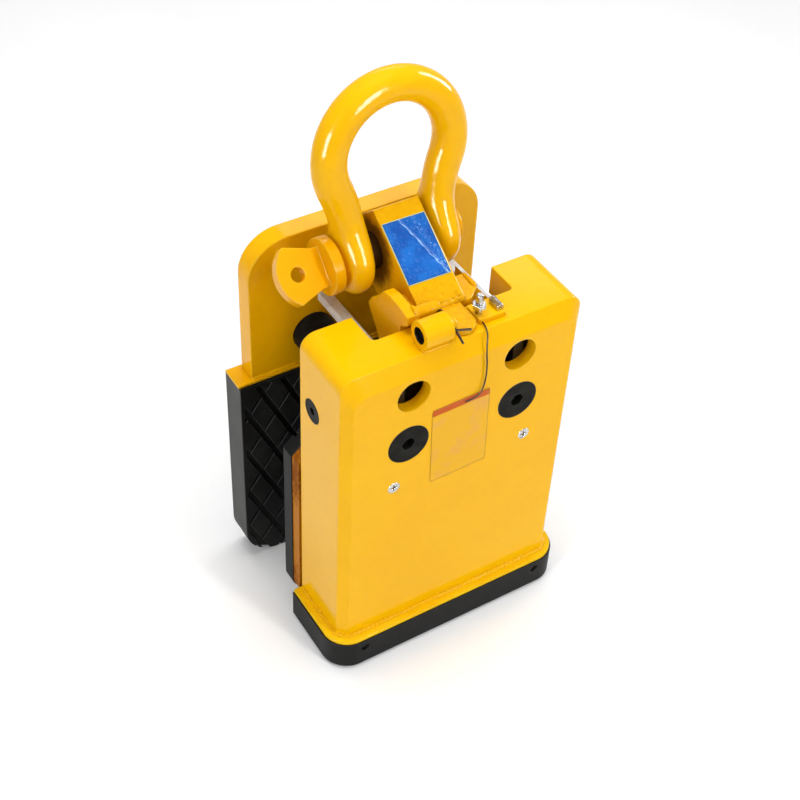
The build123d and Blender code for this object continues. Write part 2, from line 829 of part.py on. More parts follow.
lifting_block.part.label = "lifting_block"
export_step(lifting_block.part, "parts/lifting_block.step")

# Catch plate, flame-cut along its top, with the short rod across the front of the block
catch_outline = [
    (80.0, housing_top - 8.0),
    (75.5, housing_top),
    (70.0, housing_top + 2.5),
    (66.0, housing_top + 9.0),
    (60.5, housing_top + 16.0),
    (52.0, housing_top + 18.0),
    (40.0, housing_top + 17.5),
    (28.5, housing_top + 15.0),
    (28.0, housing_top + 8.5),
    (block_front + 0.5, housing_top + 2.0),
    (block_front + 0.5, riser_bottom),
    (block_front + block_depth, riser_bottom),
]
with BuildPart() as catch_plate:
    with BuildSketch(across(-riser_left)):
        with BuildLine():
            Polyline(*[(front_y + depth, height) for depth, height in catch_outline], close=True)
        make_face()
    extrude(amount=-catch_thickness)
catch_plate.part.label = "catch_plate"
export_step(catch_plate.part, "parts/catch_plate.step")

with BuildPart() as catch_rod:
    with BuildSketch(across(-riser_left)):
        with Locations((front_y + catch_rod_depth, housing_top + catch_rod_rise)):
            Circle(catch_rod_radius)
    extrude(amount=catch_rod_length)
    chamfer(catch_rod.edges().filter_by(GeomType.CIRCLE).sort_by(Axis.X)[-1], 0.8)
catch_rod.part.label = "catch_rod"
export_step(catch_rod.part, "parts/catch_rod.step")

# Latch: barrel welded to the rim, bolt sliding in it over the tongue, cotter through the bolt
with BuildPart() as latch_barrel:
    with BuildSketch(across(-barrel_right)):
        with Locations((barrel_y, barrel_z)):
            Circle(barrel_radius)
        with Locations((barrel_y, housing_top)):
            Rectangle(barrel_radius, barrel_rise, align=(Align.CENTER, Align.MIN))
        with Locations((barrel_y, barrel_z)):
            Circle(bolt_radius + running_gap, mode=Mode.SUBTRACT)
    extrude(amount=-barrel_length)
latch_barrel.part.label = "latch_barrel"
export_step(latch_barrel.part, "parts/latch_barrel.step")

bolt_right = bolt_stand_out - barrel_right
cotter_x = cotter_stand_out - barrel_right
with BuildPart() as latch_bolt:
    with BuildSketch(across(bolt_right)):
        with Locations((barrel_y, barrel_z)):
            Circle(bolt_radius)
    extrude(amount=-bolt_length)
    with BuildSketch(Plane(origin=(cotter_x, barrel_y, barrel_z), x_dir=(1, 0, 0), z_dir=(0, -1, 0))):
        Circle(cotter_radius)
    extrude(amount=2 * bolt_radius, both=True, mode=Mode.SUBTRACT)
latch_bolt.part.label = "latch_bolt"
export_step(latch_bolt.part, "parts/latch_bolt.step")

cotter_front = barrel_y - bolt_radius - 2.0
cotter_eye = 3.0 * cotter_radius
cotter_back = barrel_y + bolt_radius + 1.5
with BuildPart() as latch_cotter:
    with BuildSketch(Plane(origin=(cotter_x, cotter_back, barrel_z), x_dir=(1, 0, 0), z_dir=(0, -1, 0))):
        Circle(cotter_radius)
    extrude(amount=cotter_back - cotter_front)
    with Locations(Plane(origin=(cotter_x, cotter_back + cotter_eye, barrel_z), z_dir=(1, 0, 0))):
        Torus(cotter_eye, cotter_radius)
    legs = [(10.0, -4.0, 0.0), (-1.0, -11.0, -3.0)]
    for leg in legs:
        with BuildSketch(Plane(origin=(cotter_x, cotter_front + 0.6, barrel_z), z_dir=leg)):
            Circle(cotter_radius * 0.8)
        extrude(amount=Vector(*leg).length)
latch_cotter.part.label = "latch_cotter"
export_step(latch_cotter.part, "parts/latch_cotter.step")

# Stop bracket on the rim with its bolt, nut and pin
bracket_top = housing_top + bracket_thickness
with BuildPart() as stop_bracket:
    with BuildSketch(Plane.XY.offset(housing_top)) as bracket_plan:
        with Locations((bracket_left, front_y + bracket_front)):
            Rectangle(bracket_width, bracket_length, align=(Align.MIN, Align.MIN))
        fillet(bracket_plan.vertices(), 1.5)
    extrude(amount=bracket_thickness)
stop_bracket.part.label = "stop_bracket"
export_step(stop_bracket.part, "parts/stop_bracket.step")

stop_x = bracket_left + stop_bolt_inset
stop_y = front_y + bracket_front + stop_bolt_setback
with BuildPart() as stop_bolt:
    with BuildSketch(Plane(origin=(stop_x, stop_y, bracket_top))):
        Circle(stop_bolt_radius)
    extrude(amount=stop_bolt_height)
    chamfer(stop_bolt.edges().filter_by(GeomType.CIRCLE).sort_by(Axis.Z)[-1], 0.6)
stop_bolt.part.label = "stop_bolt"
export_step(stop_bolt.part, "parts/stop_bolt.step")

with BuildPart() as stop_nut:
    with BuildSketch(Plane(origin=(stop_x, stop_y, bracket_top + stop_nut_lift))):
        RegularPolygon(stop_nut_width / 2, 6, major_radius=False)
        Circle(stop_bolt_radius, mode=Mode.SUBTRACT)
    extrude(amount=stop_nut_height)
stop_nut.part.label = "stop_nut"
export_step(stop_nut.part, "parts/stop_nut.step")

# The pin lies on the bracket with a narrow flat underneath
with BuildPart() as stop_pin:
    with BuildSketch(facing(front_y + bracket_front + stop_pin_setback)):
        with Locations((bracket_left + stop_pin_inset, bracket_top + stop_pin_radius - 0.3)):
            Circle(stop_pin_radius)
        with Locations((bracket_left + stop_pin_inset, bracket_top)):
            Rectangle(
                4 * stop_pin_radius, 4 * stop_pin_radius, align=(Align.CENTER, Align.MIN), mode=Mode.INTERSECT
            )
    extrude(amount=-stop_pin_length)
stop_pin.part.label = "stop_pin"
export_step(stop_pin.part, "parts/stop_pin.step")

# Shackle: crown swept along an arc, limbs lofted from it down to the round-edged ears, screw pin through them
lean = radians(shackle_lean)
bow_foot = Vector(shackle_shift, pin_y, pin_height)
bow_plane = Plane(origin=bow_foot, x_dir=(1, 0, 0), z_dir=(0, -cos(lean), sin(lean)))
ear_x = ear_spread / 2
flank = ((bow_rise - ear_straight) ** 2 + ear_x**2 - bow_radius**2) / (2 * (bow_radius - ear_x))
flank_turn = atan2(bow_rise - ear_straight, ear_x + flank)
join_x = bow_radius * cos(flank_turn)
join_y = bow_rise - bow_radius * sin(flank_turn)
limb_rings = [
    (flare_foot, waist_across, flare_half),
    (flare_rise, waist_across, flare_swell),
    (waist_height, waist_across, waist_half),
    (join_y, limb_radius, limb_radius),
]
with BuildPart() as shackle_bow:
    with BuildLine(bow_plane):
        crown = ThreePointArc((-join_x, join_y), (0, bow_rise + bow_radius), (join_x, join_y))
    with BuildSketch(Plane(origin=crown @ 0, x_dir=bow_plane.z_dir, z_dir=crown % 0)):
        Circle(limb_radius)
    sweep(path=crown)
    for side in (-1, 1):
        for height, half_across, half_deep in limb_rings:
            turn = asin(max(height - ear_straight, 0.0) / flank)
            ring_x = side * (ear_x + flank - flank * cos(turn))
            ring_along = bow_plane.x_dir * side * sin(turn) + bow_plane.y_dir * cos(turn)
            ring_centre = bow_foot + bow_plane.x_dir * ring_x + bow_plane.y_dir * height
            with BuildSketch(Plane(origin=ring_centre, x_dir=bow_plane.z_dir, z_dir=ring_along)):
                if half_deep > half_across:
                    Ellipse(half_deep, half_across)
                else:
                    Circle(half_across)
        loft()
        ear_centre = bow_foot + bow_plane.x_dir * side * ear_x
        with BuildSketch(Plane(origin=ear_centre, x_dir=(1, 0, 0), z_dir=(0, -1, 0))) as ear_half:
            Rectangle(ear_thickness, ear_radius, align=(Align.CENTER, Align.MIN))
            fillet(ear_half.vertices().sort_by(Axis.Y)[-2:], ear_edge)
        revolve(axis=Axis((0, pin_y, pin_height), (1, 0, 0)))
    with Locations(Plane(origin=(0, pin_y, pin_height), z_dir=(1, 0, 0))):
        Cylinder(pin_radius + running_gap, 3 * ear_spread, mode=Mode.SUBTRACT)
shackle_bow.part.label = "shackle_bow"
export_step(shackle_bow.part, "parts/shackle_bow.step")

collar_x = ear_x + ear_thickness / 2 + collar_gap - shackle_shift
paddle_x = collar_x + collar_thickness
paddle_wide = -paddle_x - 0.7 * paddle_reach
tilt = radians(paddle_tilt)
paddle_plane = Plane(origin=(0, pin_y, pin_height), x_dir=(1, 0, 0), z_dir=(0, -cos(tilt), sin(tilt)))
with BuildPart() as shackle_pin:
    with BuildSketch(across(-collar_x)):
        with Locations((pin_y, pin_height)):
            Circle(pin_radius)
    extrude(amount=collar_x + pin_end + shackle_shift)
    with BuildSketch(across(-collar_x)):
        with Locations((pin_y, pin_height)):
            Circle(collar_radius)
    extrude(amount=-collar_thickness)
    with BuildSketch(paddle_plane):
        with BuildLine():
            Polyline(
                (paddle_wide, -paddle_half),
                (-paddle_x - 6.0, -paddle_root),
                (-paddle_x + 1.0, -paddle_root),
                (-paddle_x + 1.0, paddle_root),
                (-paddle_x - 6.0, paddle_root),
                (paddle_wide, paddle_half),
            )
            ThreePointArc(
                (paddle_wide, paddle_half), (-paddle_x - paddle_reach, 0), (paddle_wide, -paddle_half)
            )
        make_face()
        with Locations((-paddle_x - 0.58 * paddle_reach, 0)):
            Circle(paddle_hole, mode=Mode.SUBTRACT)
    extrude(amount=paddle_thickness / 2, both=True)
shackle_pin.part.label = "shackle_pin"
export_step(shackle_pin.part, "parts/shackle_pin.step")

# Wire: straight runs joined by arcs that meet them in line
wire_path = [Vector(x, front_y + depth, housing_top + height) for x, depth, height in wire_points]
wire_bends = []
for before, here, after in zip(wire_path, wire_path[1:], wire_path[2:]):
    half_turn = radians((here - before).get_angle(after - here)) / 2
    shorter = min((here - before).length, (after - here).length)
    wire_bends.append(0.45 * shorter / tan(half_turn))
print("wire radii", [round(bend, 1) for bend in wire_bends])
with BuildPart() as safety_wire:
    with BuildLine():
        FilletPolyline(*wire_path, radius=wire_bends)
    with BuildSketch(Plane(origin=wire_path[0], z_dir=wire_path[1] - wire_path[0])):
        Circle(wire_radius)
    sweep()
safety_wire.part.label = "safety_wire"
export_step(safety_wire.part, "parts/safety_wire.step")
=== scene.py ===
import bpy
import numpy as np
from mathutils import Matrix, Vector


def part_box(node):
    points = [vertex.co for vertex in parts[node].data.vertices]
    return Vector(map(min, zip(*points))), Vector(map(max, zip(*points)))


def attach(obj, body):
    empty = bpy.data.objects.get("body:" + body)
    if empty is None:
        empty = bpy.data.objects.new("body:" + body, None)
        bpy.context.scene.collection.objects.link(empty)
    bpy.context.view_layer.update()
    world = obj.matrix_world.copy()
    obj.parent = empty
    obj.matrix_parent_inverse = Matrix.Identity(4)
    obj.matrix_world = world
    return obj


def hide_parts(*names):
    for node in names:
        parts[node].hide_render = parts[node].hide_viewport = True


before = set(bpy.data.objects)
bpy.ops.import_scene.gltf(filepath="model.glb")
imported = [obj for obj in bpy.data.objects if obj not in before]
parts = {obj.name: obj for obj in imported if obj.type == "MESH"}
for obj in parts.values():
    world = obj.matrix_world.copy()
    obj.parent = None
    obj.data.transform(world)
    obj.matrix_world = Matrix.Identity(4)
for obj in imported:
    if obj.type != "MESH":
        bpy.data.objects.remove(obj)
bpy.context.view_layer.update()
scene = bpy.context.scene
print("frame loaded,", len(parts), "nodes")


def middleOf(node):
    low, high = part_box(node)
    return (low + high) / 2


# Faces and axes of the frame that the finishes and new pieces are set against
shellLow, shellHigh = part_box("housing_shell")
half, rim = shellHigh.x, shellHigh.z  # half the width, and the height of the top edge
frontY, backY = round(shellLow.y, 6), shellHigh.y  # the front to a micron, for the wire's exit
barrelLow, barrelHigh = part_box("latch_barrel")
latchAxis = middleOf("latch_bolt")
pinAxis = middleOf("shackle_pin")
bowMiddle = middleOf("shackle_bow").x
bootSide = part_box("rear_pad_rubber")[1].x
neckHalf = 0.0185  # half the width of the lifting block's neck


class Flow:
    # one socket of a material: sums, differences, products and absolute values add Math nodes
    def __init__(self, tree, socket=None):
        self.tree = tree
        self.socket = socket

    def node(self, kind, settings, inputs, out=0):
        made = self.tree.nodes.new("ShaderNode" + kind)
        for key, value in settings.items():
            setattr(made, key, value)
        for key, value in inputs.items():
            if isinstance(value, Flow):
                self.tree.links.new(value.socket, made.inputs[key])
            else:
                made.inputs[key].default_value = value
        return Flow(self.tree, made.outputs[out])

    def maths(self, operation, first, second=0.0):
        return self.node("Math", {"operation": operation}, {0: first, 1: second})

    def __add__(self, other):
        return self.maths("ADD", self, other)

    def __radd__(self, other):
        return self.maths("ADD", other, self)

    def __sub__(self, other):
        return self.maths("SUBTRACT", self, other)

    def __rsub__(self, other):
        return self.maths("SUBTRACT", other, self)

    def __mul__(self, other):
        return self.maths("MULTIPLY", self, other)

    def __rmul__(self, other):
        return self.maths("MULTIPLY", other, self)

    def __abs__(self):
        return self.maths("ABSOLUTE", self)

    def fade(self, low, high):
        # 0 below low, 1 above high, smooth between
        return self.node("MapRange", {"interpolation_type": "SMOOTHSTEP"}, {0: self, 1: low, 2: high})

    def mix(self, first, second):
        # first colour where this value is 0, second where it is 1
        return self.node("Mix", {"data_type": "RGBA"}, {0: self, 6: first, 7: second}, 2)


def noise(flow, place, scale, detail, rough=0.5):
    inputs = {"Vector": place, "Scale": scale, "Detail": detail, "Roughness": rough}
    return flow.node("TexNoise", {}, inputs)


def stretched(flow, place, scale):
    return flow.node("Mapping", {}, {"Vector": place, "Scale": scale})


def coordinate(flow, place, axis):
    return flow.node("SeparateXYZ", {}, {0: place}, "XYZ".index(axis))


def fromAxis(flow, place, axis):
    # distance from the line along X through the point axis
    flat = flow.node("VectorMath", {"operation": "MULTIPLY"}, {0: place, 1: (0.0, 1.0, 1.0)})
    return flow.node("VectorMath", {"operation": "DISTANCE"}, {0: flat, 1: (0.0, axis.y, axis.z)}, "Value")


def onPlate(flow, place, middle, right, up):
    # how far a point lies to the right of a plate's middle, and above it
    centred = flow.node("VectorMath", {"operation": "SUBTRACT"}, {0: place, 1: tuple(middle)})
    dot = {"operation": "DOT_PRODUCT"}
    return [flow.node("VectorMath", dot, {0: centred, 1: tuple(way)}, "Value") for way in (right, up)]


def softEdges(flow, radius, samples=6):
    # the normal rounded over by radius, and how far it leaves the flat one
    rounded = flow.node("Bevel", {"samples": samples}, {"Radius": radius})
    flat = flow.node("NewGeometry", {}, {}, "Normal")
    same = flow.node("VectorMath", {"operation": "DOT_PRODUCT"}, {0: rounded, 1: flat}, "Value")
    return rounded, 1 - same


def bumped(flow, height, depth, normal=None):
    inputs = {"Strength": 1.0, "Distance": depth, "Height": height}
    if normal:
        inputs["Normal"] = normal
    return flow.node("Bump", {}, inputs)


def makeFinish(name, constants, recipe, sizes):
    material = bpy.data.materials.new(name)
    material.use_nodes = True
    tree = material.node_tree
    shader = tree.nodes["Principled BSDF"]
    for key, value in constants.items():
        shader.inputs[key].default_value = value
    flow = Flow(tree)
    place = flow.node("TexCoord", {}, {}, "Object")
    for key, value in recipe(flow, place, sizes).items():
        tree.links.new(value.socket, shader.inputs[key])
    return material


# Enamel: broad tone, fine mottle, edges painted paler for a coat worn thin and as a painted highlight along
# them, orange peel in the gloss
enamel = {
    "colour": (0.84, 0.455, 0.001, 1),
    "deep": (0.81, 0.415, 0.0006, 1),
    # the paler edge colour: a coat worn thin, and a painted highlight
    "thin": (0.92, 0.64, 0.03, 1),
    "wear": 0.6,
    "toneScale": 9.0,
    "mottleScale": 140.0,
    "peelScale": 260.0,
    "peelDepth": 0.000016,
    "edge": 0.0016,
    "gloss": 0.08,
    "glossSpread": 0.09,
}
enamelGloss = {"Coat Weight": 0.03, "Coat Roughness": 0.03, "Specular IOR Level": 0.11}


def enamelRecipe(flow, place, sizes):
    tone = noise(flow, place, sizes["toneScale"], 3.0)
    mottle = noise(flow, place, sizes["mottleScale"], 3.0)
    peel = noise(flow, place, sizes["peelScale"], 2.0)
    rounded, edge = softEdges(flow, sizes["edge"])
    base = (tone * 0.7 + mottle * 0.3).fade(0.3, 0.72).mix(sizes["deep"], sizes["colour"])
    # edges painted paler: a coat worn thin, and a painted highlight along them
    worn = (edge * (0.4 + mottle * 1.2)).fade(0.03, 0.3)
    return {
        "Base Color": (worn * sizes["wear"]).mix(base, sizes["thin"]),
        "Roughness": sizes["gloss"] + sizes["glossSpread"] * mottle,
        "Normal": bumped(flow, peel, sizes["peelDepth"], rounded),
    }


yellowEnamel = makeFinish("yellow_enamel", enamelGloss, enamelRecipe, enamel)

# The rear jaw and the catch plate: a shade deeper, rounder edges
jaw = {**enamel, "colour": (0.84, 0.43, 0.001, 1), "deep": (0.80, 0.38, 0.0006, 1), "edge": 0.0022}
jawEnamel = makeFinish("jaw_enamel", enamelGloss, enamelRecipe, jaw)

# The base flange: a thicker, paler coat over its welds
flange = {
    **enamel,
    "colour": (0.92, 0.58, 0.008, 1),
    "deep": (0.86, 0.49, 0.003, 1),
    "toneScale": 40.0,
    "edge": 0.0022,
}
flangeEnamel = makeFinish("flange_enamel", enamelGloss, enamelRecipe, flange)

# Enamel over a forging: the skin under it is a little wavy
forged = {**enamel, "waveScale": 75.0, "waveDepth": 0.0005}
forgedGloss = {**enamelGloss, "Coat Weight": 0.0, "Specular IOR Level": 0.16}


def forgedRecipe(flow, place, sizes):
    coat = enamelRecipe(flow, place, sizes)
    wave = noise(flow, place, sizes["waveScale"], 2.0)
    coat["Normal"] = bumped(flow, wave, sizes["waveDepth"], coat["Normal"])
    return coat


forgedEnamel = makeFinish("forged_enamel", forgedGloss, forgedRecipe, forged)

# Shackle pin: the same coat, a little deeper, and a bare greasy shank between the lobes, painted near black
# as the shade in the gap beside the neck
pin = {
    **forged,
    "colour": (0.82, 0.40, 0.001, 1),
    "deep": (0.77, 0.35, 0.0006, 1),
    "edge": 0.002,
    # near black: the bare greasy shank, and painted shade in the gap
    "greaseShade": (0.035, 0.016, 0.004, 1),
    "shank": 0.0262,
    "blur": 0.0006,
}


def pinRecipe(flow, place, sizes):
    coat = forgedRecipe(flow, place, sizes)
    across = abs(coordinate(flow, place, "X") - bowMiddle)
    painted = across.fade(sizes["shank"] - sizes["blur"], sizes["shank"])
    # the shank painted dark: grease, and painted shade between lobe and neck
    coat["Base Color"] = painted.mix(sizes["greaseShade"], coat["Base Color"])
    return coat


pinEnamel = makeFinish("pin_enamel", forgedGloss, pinRecipe, pin)

# Enamel over weld spatter and flame-cut faces: grime in the hollows, a coarse grain below the height
# low that is gone at high, and painted shade with some grease round the pin's eye on both sides of the neck
spatter = {
    **enamel,
    "colour": (0.75, 0.39, 0.001, 1),
    "deep": (0.69, 0.335, 0.0006, 1),
    "grime": (0.48, 0.20, 0.001, 1),
    "wear": 0.5,
    "patchScale": 90.0,
    "grainScale": 260.0,
    "grainDepth": 0.0012,
    "grainDull": 0.1,
    "roughDull": 0.16,
    "low": 0.285,
    "high": 0.335,
    # dark brown: grease, and painted shade on the neck's sides round the pin's eye
    "greaseShade": (0.10, 0.04, 0.004, 1),
    "greaseShadeShare": 0.9,
    "smear": 0.031,
    "smearBlur": 0.011,
    "smearWander": 0.012,
    "sideDepth": 0.0002,
    "sideBlur": 0.0002,
}


def spatterRecipe(flow, place, sizes):
    patch = noise(flow, place, sizes["patchScale"], 4.0, 0.6)
    grain = noise(flow, place, sizes["grainScale"], 4.0, 0.6)
    rough = (1 - coordinate(flow, place, "Z").fade(sizes["low"], sizes["high"])) * patch.fade(0.34, 0.62)
    rounded, edge = softEdges(flow, sizes["edge"])
    base = (patch * 0.6 + grain * 0.4).fade(0.3, 0.7).mix(sizes["deep"], sizes["colour"])
    hollow = (1 - grain.fade(0.32, 0.52)) * (0.03 + 0.5 * rough)
    # edges painted paler: a coat worn thin, and a painted highlight along them
    worn = (edge * (0.4 + grain * 1.2)).fade(0.03, 0.3)
    dirty = (worn * sizes["wear"]).mix(hollow.mix(base, sizes["grime"]), sizes["thin"])
    face = neckHalf - sizes["sideDepth"]
    side = abs(coordinate(flow, place, "X")).fade(face - sizes["sideBlur"], face)
    # round the pin's eye on the neck's sides: painted shade of the gap to the lobes, with grease
    away = fromAxis(flow, place, pinAxis) + sizes["smearWander"] * (patch - 0.5)
    smear = side * (1 - away.fade(sizes["smear"] - sizes["smearBlur"], sizes["smear"]))
    return {
        "Base Color": (sizes["greaseShadeShare"] * smear).mix(dirty, sizes["greaseShade"]),
        "Roughness": sizes["gloss"] + sizes["grainDull"] * grain + sizes["roughDull"] * rough,
        "Normal": bumped(flow, grain * rough, sizes["grainDepth"], rounded),
    }


spatteredEnamel = makeFinish("spattered_enamel", enamelGloss, spatterRecipe, spatter)

# Latch bolt: painted where it stands out of the barrel; inside it bare steel, painted near black as the
# shade of the bore
bolt = {
    **enamel,
    # near black: bare steel, and painted shade inside the bore
    "bare": (0.02, 0.014, 0.01, 1),
    "bareRough": 0.3,
    "mouthDepth": 0.0003,
    "blur": 0.0006,
    "scuff": (60.0, 600.0, 600.0),
}


def boltRecipe(flow, place, sizes):
    mouth = barrelHigh.x - sizes["mouthDepth"]
    painted = coordinate(flow, place, "X").fade(mouth - sizes["blur"], mouth)
    coat = enamelRecipe(flow, place, sizes)
    scuff = noise(flow, stretched(flow, place, sizes["scuff"]), 1.0, 3.0)
    # inside the barrel: bare steel, painted near black as the shade in the bore
    coat["Base Color"] = (painted * (0.8 + 0.2 * scuff)).mix(sizes["bare"], coat["Base Color"])
    coat["Roughness"] = coat["Roughness"] + sizes["bareRough"] * (1 - painted)
    return coat


boltFinish = makeFinish("bolt_enamel", enamelGloss, boltRecipe, bolt)

# Latch barrel: bare and greasy in its bore, painted near black there as the shade inside it
barrel = {**enamel, "bare": (0.012, 0.009, 0.006, 1), "bareRough": 0.3, "boreEdge": (0.0062, 0.0067)}


def barrelRecipe(flow, place, sizes):
    coat = enamelRecipe(flow, place, sizes)
    painted = fromAxis(flow, place, latchAxis).fade(*sizes["boreEdge"])
    # the bore wall painted near black: bare greasy steel, and painted shade inside the bore
    coat["Base Color"] = painted.mix(sizes["bare"], coat["Base Color"])
    coat["Roughness"] = coat["Roughness"] + sizes["bareRough"] * (1 - painted)
    return coat


barrelFinish = makeFinish("barrel_enamel", enamelGloss, barrelRecipe, barrel)

# Flame-cut edge of the moving pad: the yellow enamel painted dark orange-brown as its shade, thin over
# rust-brown scale
flameCut = {
    # dark orange-brown: the yellow enamel darkened as painted shade
    "shadedPaint": (0.45, 0.155, 0.001, 1),
    "scale": (0.22, 0.06, 0.002, 1),
    "grainScale": 420.0,
    "patchScale": 38.0,
    "stretch": (1.0, 1.0, 0.35),
    "depth": 0.0004,
    "gloss": 0.36,
    "glossSpread": 0.4,
}


def flameCutRecipe(flow, place, sizes):
    grain = noise(flow, place, sizes["grainScale"], 4.0, 0.65)
    patch = noise(flow, stretched(flow, place, sizes["stretch"]), sizes["patchScale"], 4.0, 0.6)
    bare = (patch * 0.6 + grain * 0.4).fade(0.44, 0.6)
    return {
        # painted shade of the yellow enamel, with rust-brown scale in patches
        "Base Color": bare.mix(sizes["shadedPaint"], sizes["scale"]),
        "Roughness": sizes["gloss"] + sizes["glossSpread"] * bare,
        "Normal": bumped(flow, grain, sizes["depth"]),
    }


padEnamel = makeFinish("flame_cut_enamel", {"Specular IOR Level": 0.06}, flameCutRecipe, flameCut)

# Rubber: near black, greyed by dust and by rubbing on its edges, fine moulded grain
rubber = {
    "black": (0.0035, 0.0035, 0.0032, 1),
    "dusty": (0.013, 0.013, 0.012, 1),
    "rubbed": (0.10, 0.10, 0.092, 1),
    "wear": 0.7,
    "dustScale": 26.0,
    "grainScale": 900.0,
    "grainDepth": 0.00012,
    "edge": 0.0011,
    "gloss": 0.4,
    "glossSpread": 0.22,
}
rubberGloss = {"Specular IOR Level": 0.12}


def rubberRecipe(flow, place, sizes):
    dust = noise(flow, place, sizes["dustScale"], 5.0, 0.62)
    grain = noise(flow, place, sizes["grainScale"], 2.0)
    rounded, edge = softEdges(flow, sizes["edge"])
    base = dust.fade(0.42, 0.75).mix(sizes["black"], sizes["dusty"])
    worn = (edge * (0.2 + dust * 1.4)).fade(0.08, 0.42)
    return {
        "Base Color": (worn * sizes["wear"]).mix(base, sizes["rubbed"]),
        "Roughness": sizes["gloss"] + sizes["glossSpread"] * dust,
        "Normal": bumped(flow, grain, sizes["grainDepth"], rounded),
    }


blackRubber = makeFinish("black_rubber", rubberGloss, rubberRecipe, rubber)

# The rear boot's two outer sides are painted greyer, as painted light on its lit sides
boot = {
    **rubber,
    # pale grey for the outer sides: painted light
    "litSideGrey": (0.075, 0.075, 0.071, 1),
    "sideDepth": 0.0002,
    "blur": 0.0006,
    "cloudScale": 30.0,
    "stretch": (1.0, 1.0, 0.4),
}


def bootRecipe(flow, place, sizes):
    face = rubberRecipe(flow, place, sizes)
    outer = bootSide - sizes["sideDepth"]
    side = abs(coordinate(flow, place, "X")).fade(outer - sizes["blur"], outer)
    cloud = noise(flow, stretched(flow, place, sizes["stretch"]), sizes["cloudScale"], 4.0, 0.6)
    # outer sides painted greyer in clouds: painted light on the lit sides
    face["Base Color"] = (side * (0.4 + 0.6 * cloud)).mix(face["Base Color"], sizes["litSideGrey"])
    return face


bootRubber = makeFinish("boot_rubber", rubberGloss, bootRecipe, boot)

# Metals: a base colour, a stain over it, bright edges, brush lines in the roughness
brushed = {"stainDull": 0.22, "lineDull": 0.06, "lineDepth": 0.00002, "edgeShare": 0.7}
metals = {
    "black_oxide": {
        "metallic": 0.0,
        "colour": (0.005, 0.005, 0.004, 1),
        "stain": (0.014, 0.014, 0.011, 1),
        "stainScale": 70.0,
        "brush": (240.0, 240.0, 240.0),
        "gloss": 0.34,
        "edge": 0.0007,
        "edgeColour": (0.12, 0.115, 0.11, 1),
    },
    "zinc_plate": {
        "metallic": 1.0,
        "colour": (0.55, 0.55, 0.54, 1),
        "stain": (0.26, 0.26, 0.25, 1),
        "stainScale": 220.0,
        "brush": (900.0, 40.0, 900.0),
        "gloss": 0.12,
        "edge": 0.0006,
        "edgeColour": (0.85, 0.85, 0.84, 1),
    },
    "oiled_steel": {
        "metallic": 1.0,
        "colour": (0.33, 0.32, 0.31, 1),
        "stain": (0.13, 0.11, 0.09, 1),
        "stainScale": 32.0,
        "brush": (60.0, 700.0, 700.0),
        "gloss": 0.3,
        "edge": 0.0007,
        "edgeColour": (0.6, 0.6, 0.6, 1),
    },
    "turned_bronze": {
        "metallic": 1.0,
        "colour": (0.48, 0.27, 0.09, 1),
        "stain": (0.22, 0.11, 0.04, 1),
        "stainScale": 40.0,
        "brush": (500.0, 60.0, 500.0),
        "gloss": 0.28,
        "edge": 0.0006,
        "edgeColour": (0.75, 0.5, 0.22, 1),
    },
    "dulled_wire": {
        "metallic": 1.0,
        "colour": (0.07, 0.05, 0.033, 1),
        "stain": (0.03, 0.022, 0.016, 1),
        "stainScale": 120.0,
        "brush": (500.0, 500.0, 90.0),
        "gloss": 0.36,
        "edge": 0.0002,
        "edgeColour": (0.2, 0.18, 0.15, 1),
    },
}


def metalRecipe(flow, place, sizes):
    stain = noise(flow, place, sizes["stainScale"], 4.0, 0.6)
    lines = noise(flow, stretched(flow, place, sizes["brush"]), 1.0, 3.0)
    rounded, edge = softEdges(flow, sizes["edge"])
    base = stain.fade(0.45, 0.7).mix(sizes["colour"], sizes["stain"])
    bright = edge.fade(0.05, 0.35)
    return {
        "Base Color": (bright * brushed["edgeShare"]).mix(base, sizes["edgeColour"]),
        "Roughness": sizes["gloss"] + brushed["stainDull"] * stain * lines + brushed["lineDull"] * lines,
        "Normal": bumped(flow, lines, brushed["lineDepth"], rounded),
    }


metalFinish = {}
for name, sizes in metals.items():
    metalGloss = {"Metallic": sizes["metallic"], "Specular IOR Level": 0.05}
    metalFinish[name] = makeFinish(name, metalGloss, metalRecipe, sizes)

# Guide cheeks: galvanised, bright where they show in the notch, painted dark towards the front under the
# rim, as grease and as painted shade
cheeks = {
    "colour": (0.62, 0.64, 0.66, 1),
    "stain": (0.44, 0.45, 0.46, 1),
    "stainScale": 150.0,
    "brush": (900.0, 40.0, 900.0),
    "gloss": 0.22,
    "edge": 0.0006,
    "edgeColour": (0.85, 0.85, 0.84, 1),
    # near black towards the front: grease, and painted shade under the rim
    "greaseShade": (0.012, 0.009, 0.006, 1),
    "greaseShadeTo": -0.047,
    "unshadedFrom": -0.037,
}


def cheekRecipe(flow, place, sizes):
    face = metalRecipe(flow, place, sizes)
    # darker towards the front, under the rim: grease and painted shade
    unshaded = coordinate(flow, place, "Y").fade(sizes["greaseShadeTo"], sizes["unshadedFrom"])
    face["Base Color"] = unshaded.mix(sizes["greaseShade"], face["Base Color"])
    return face


cheekFinish = makeFinish("cheek_plate", {"Metallic": 0.4}, cheekRecipe, cheeks)
print("finishes made,", len(bpy.data.materials), "materials")

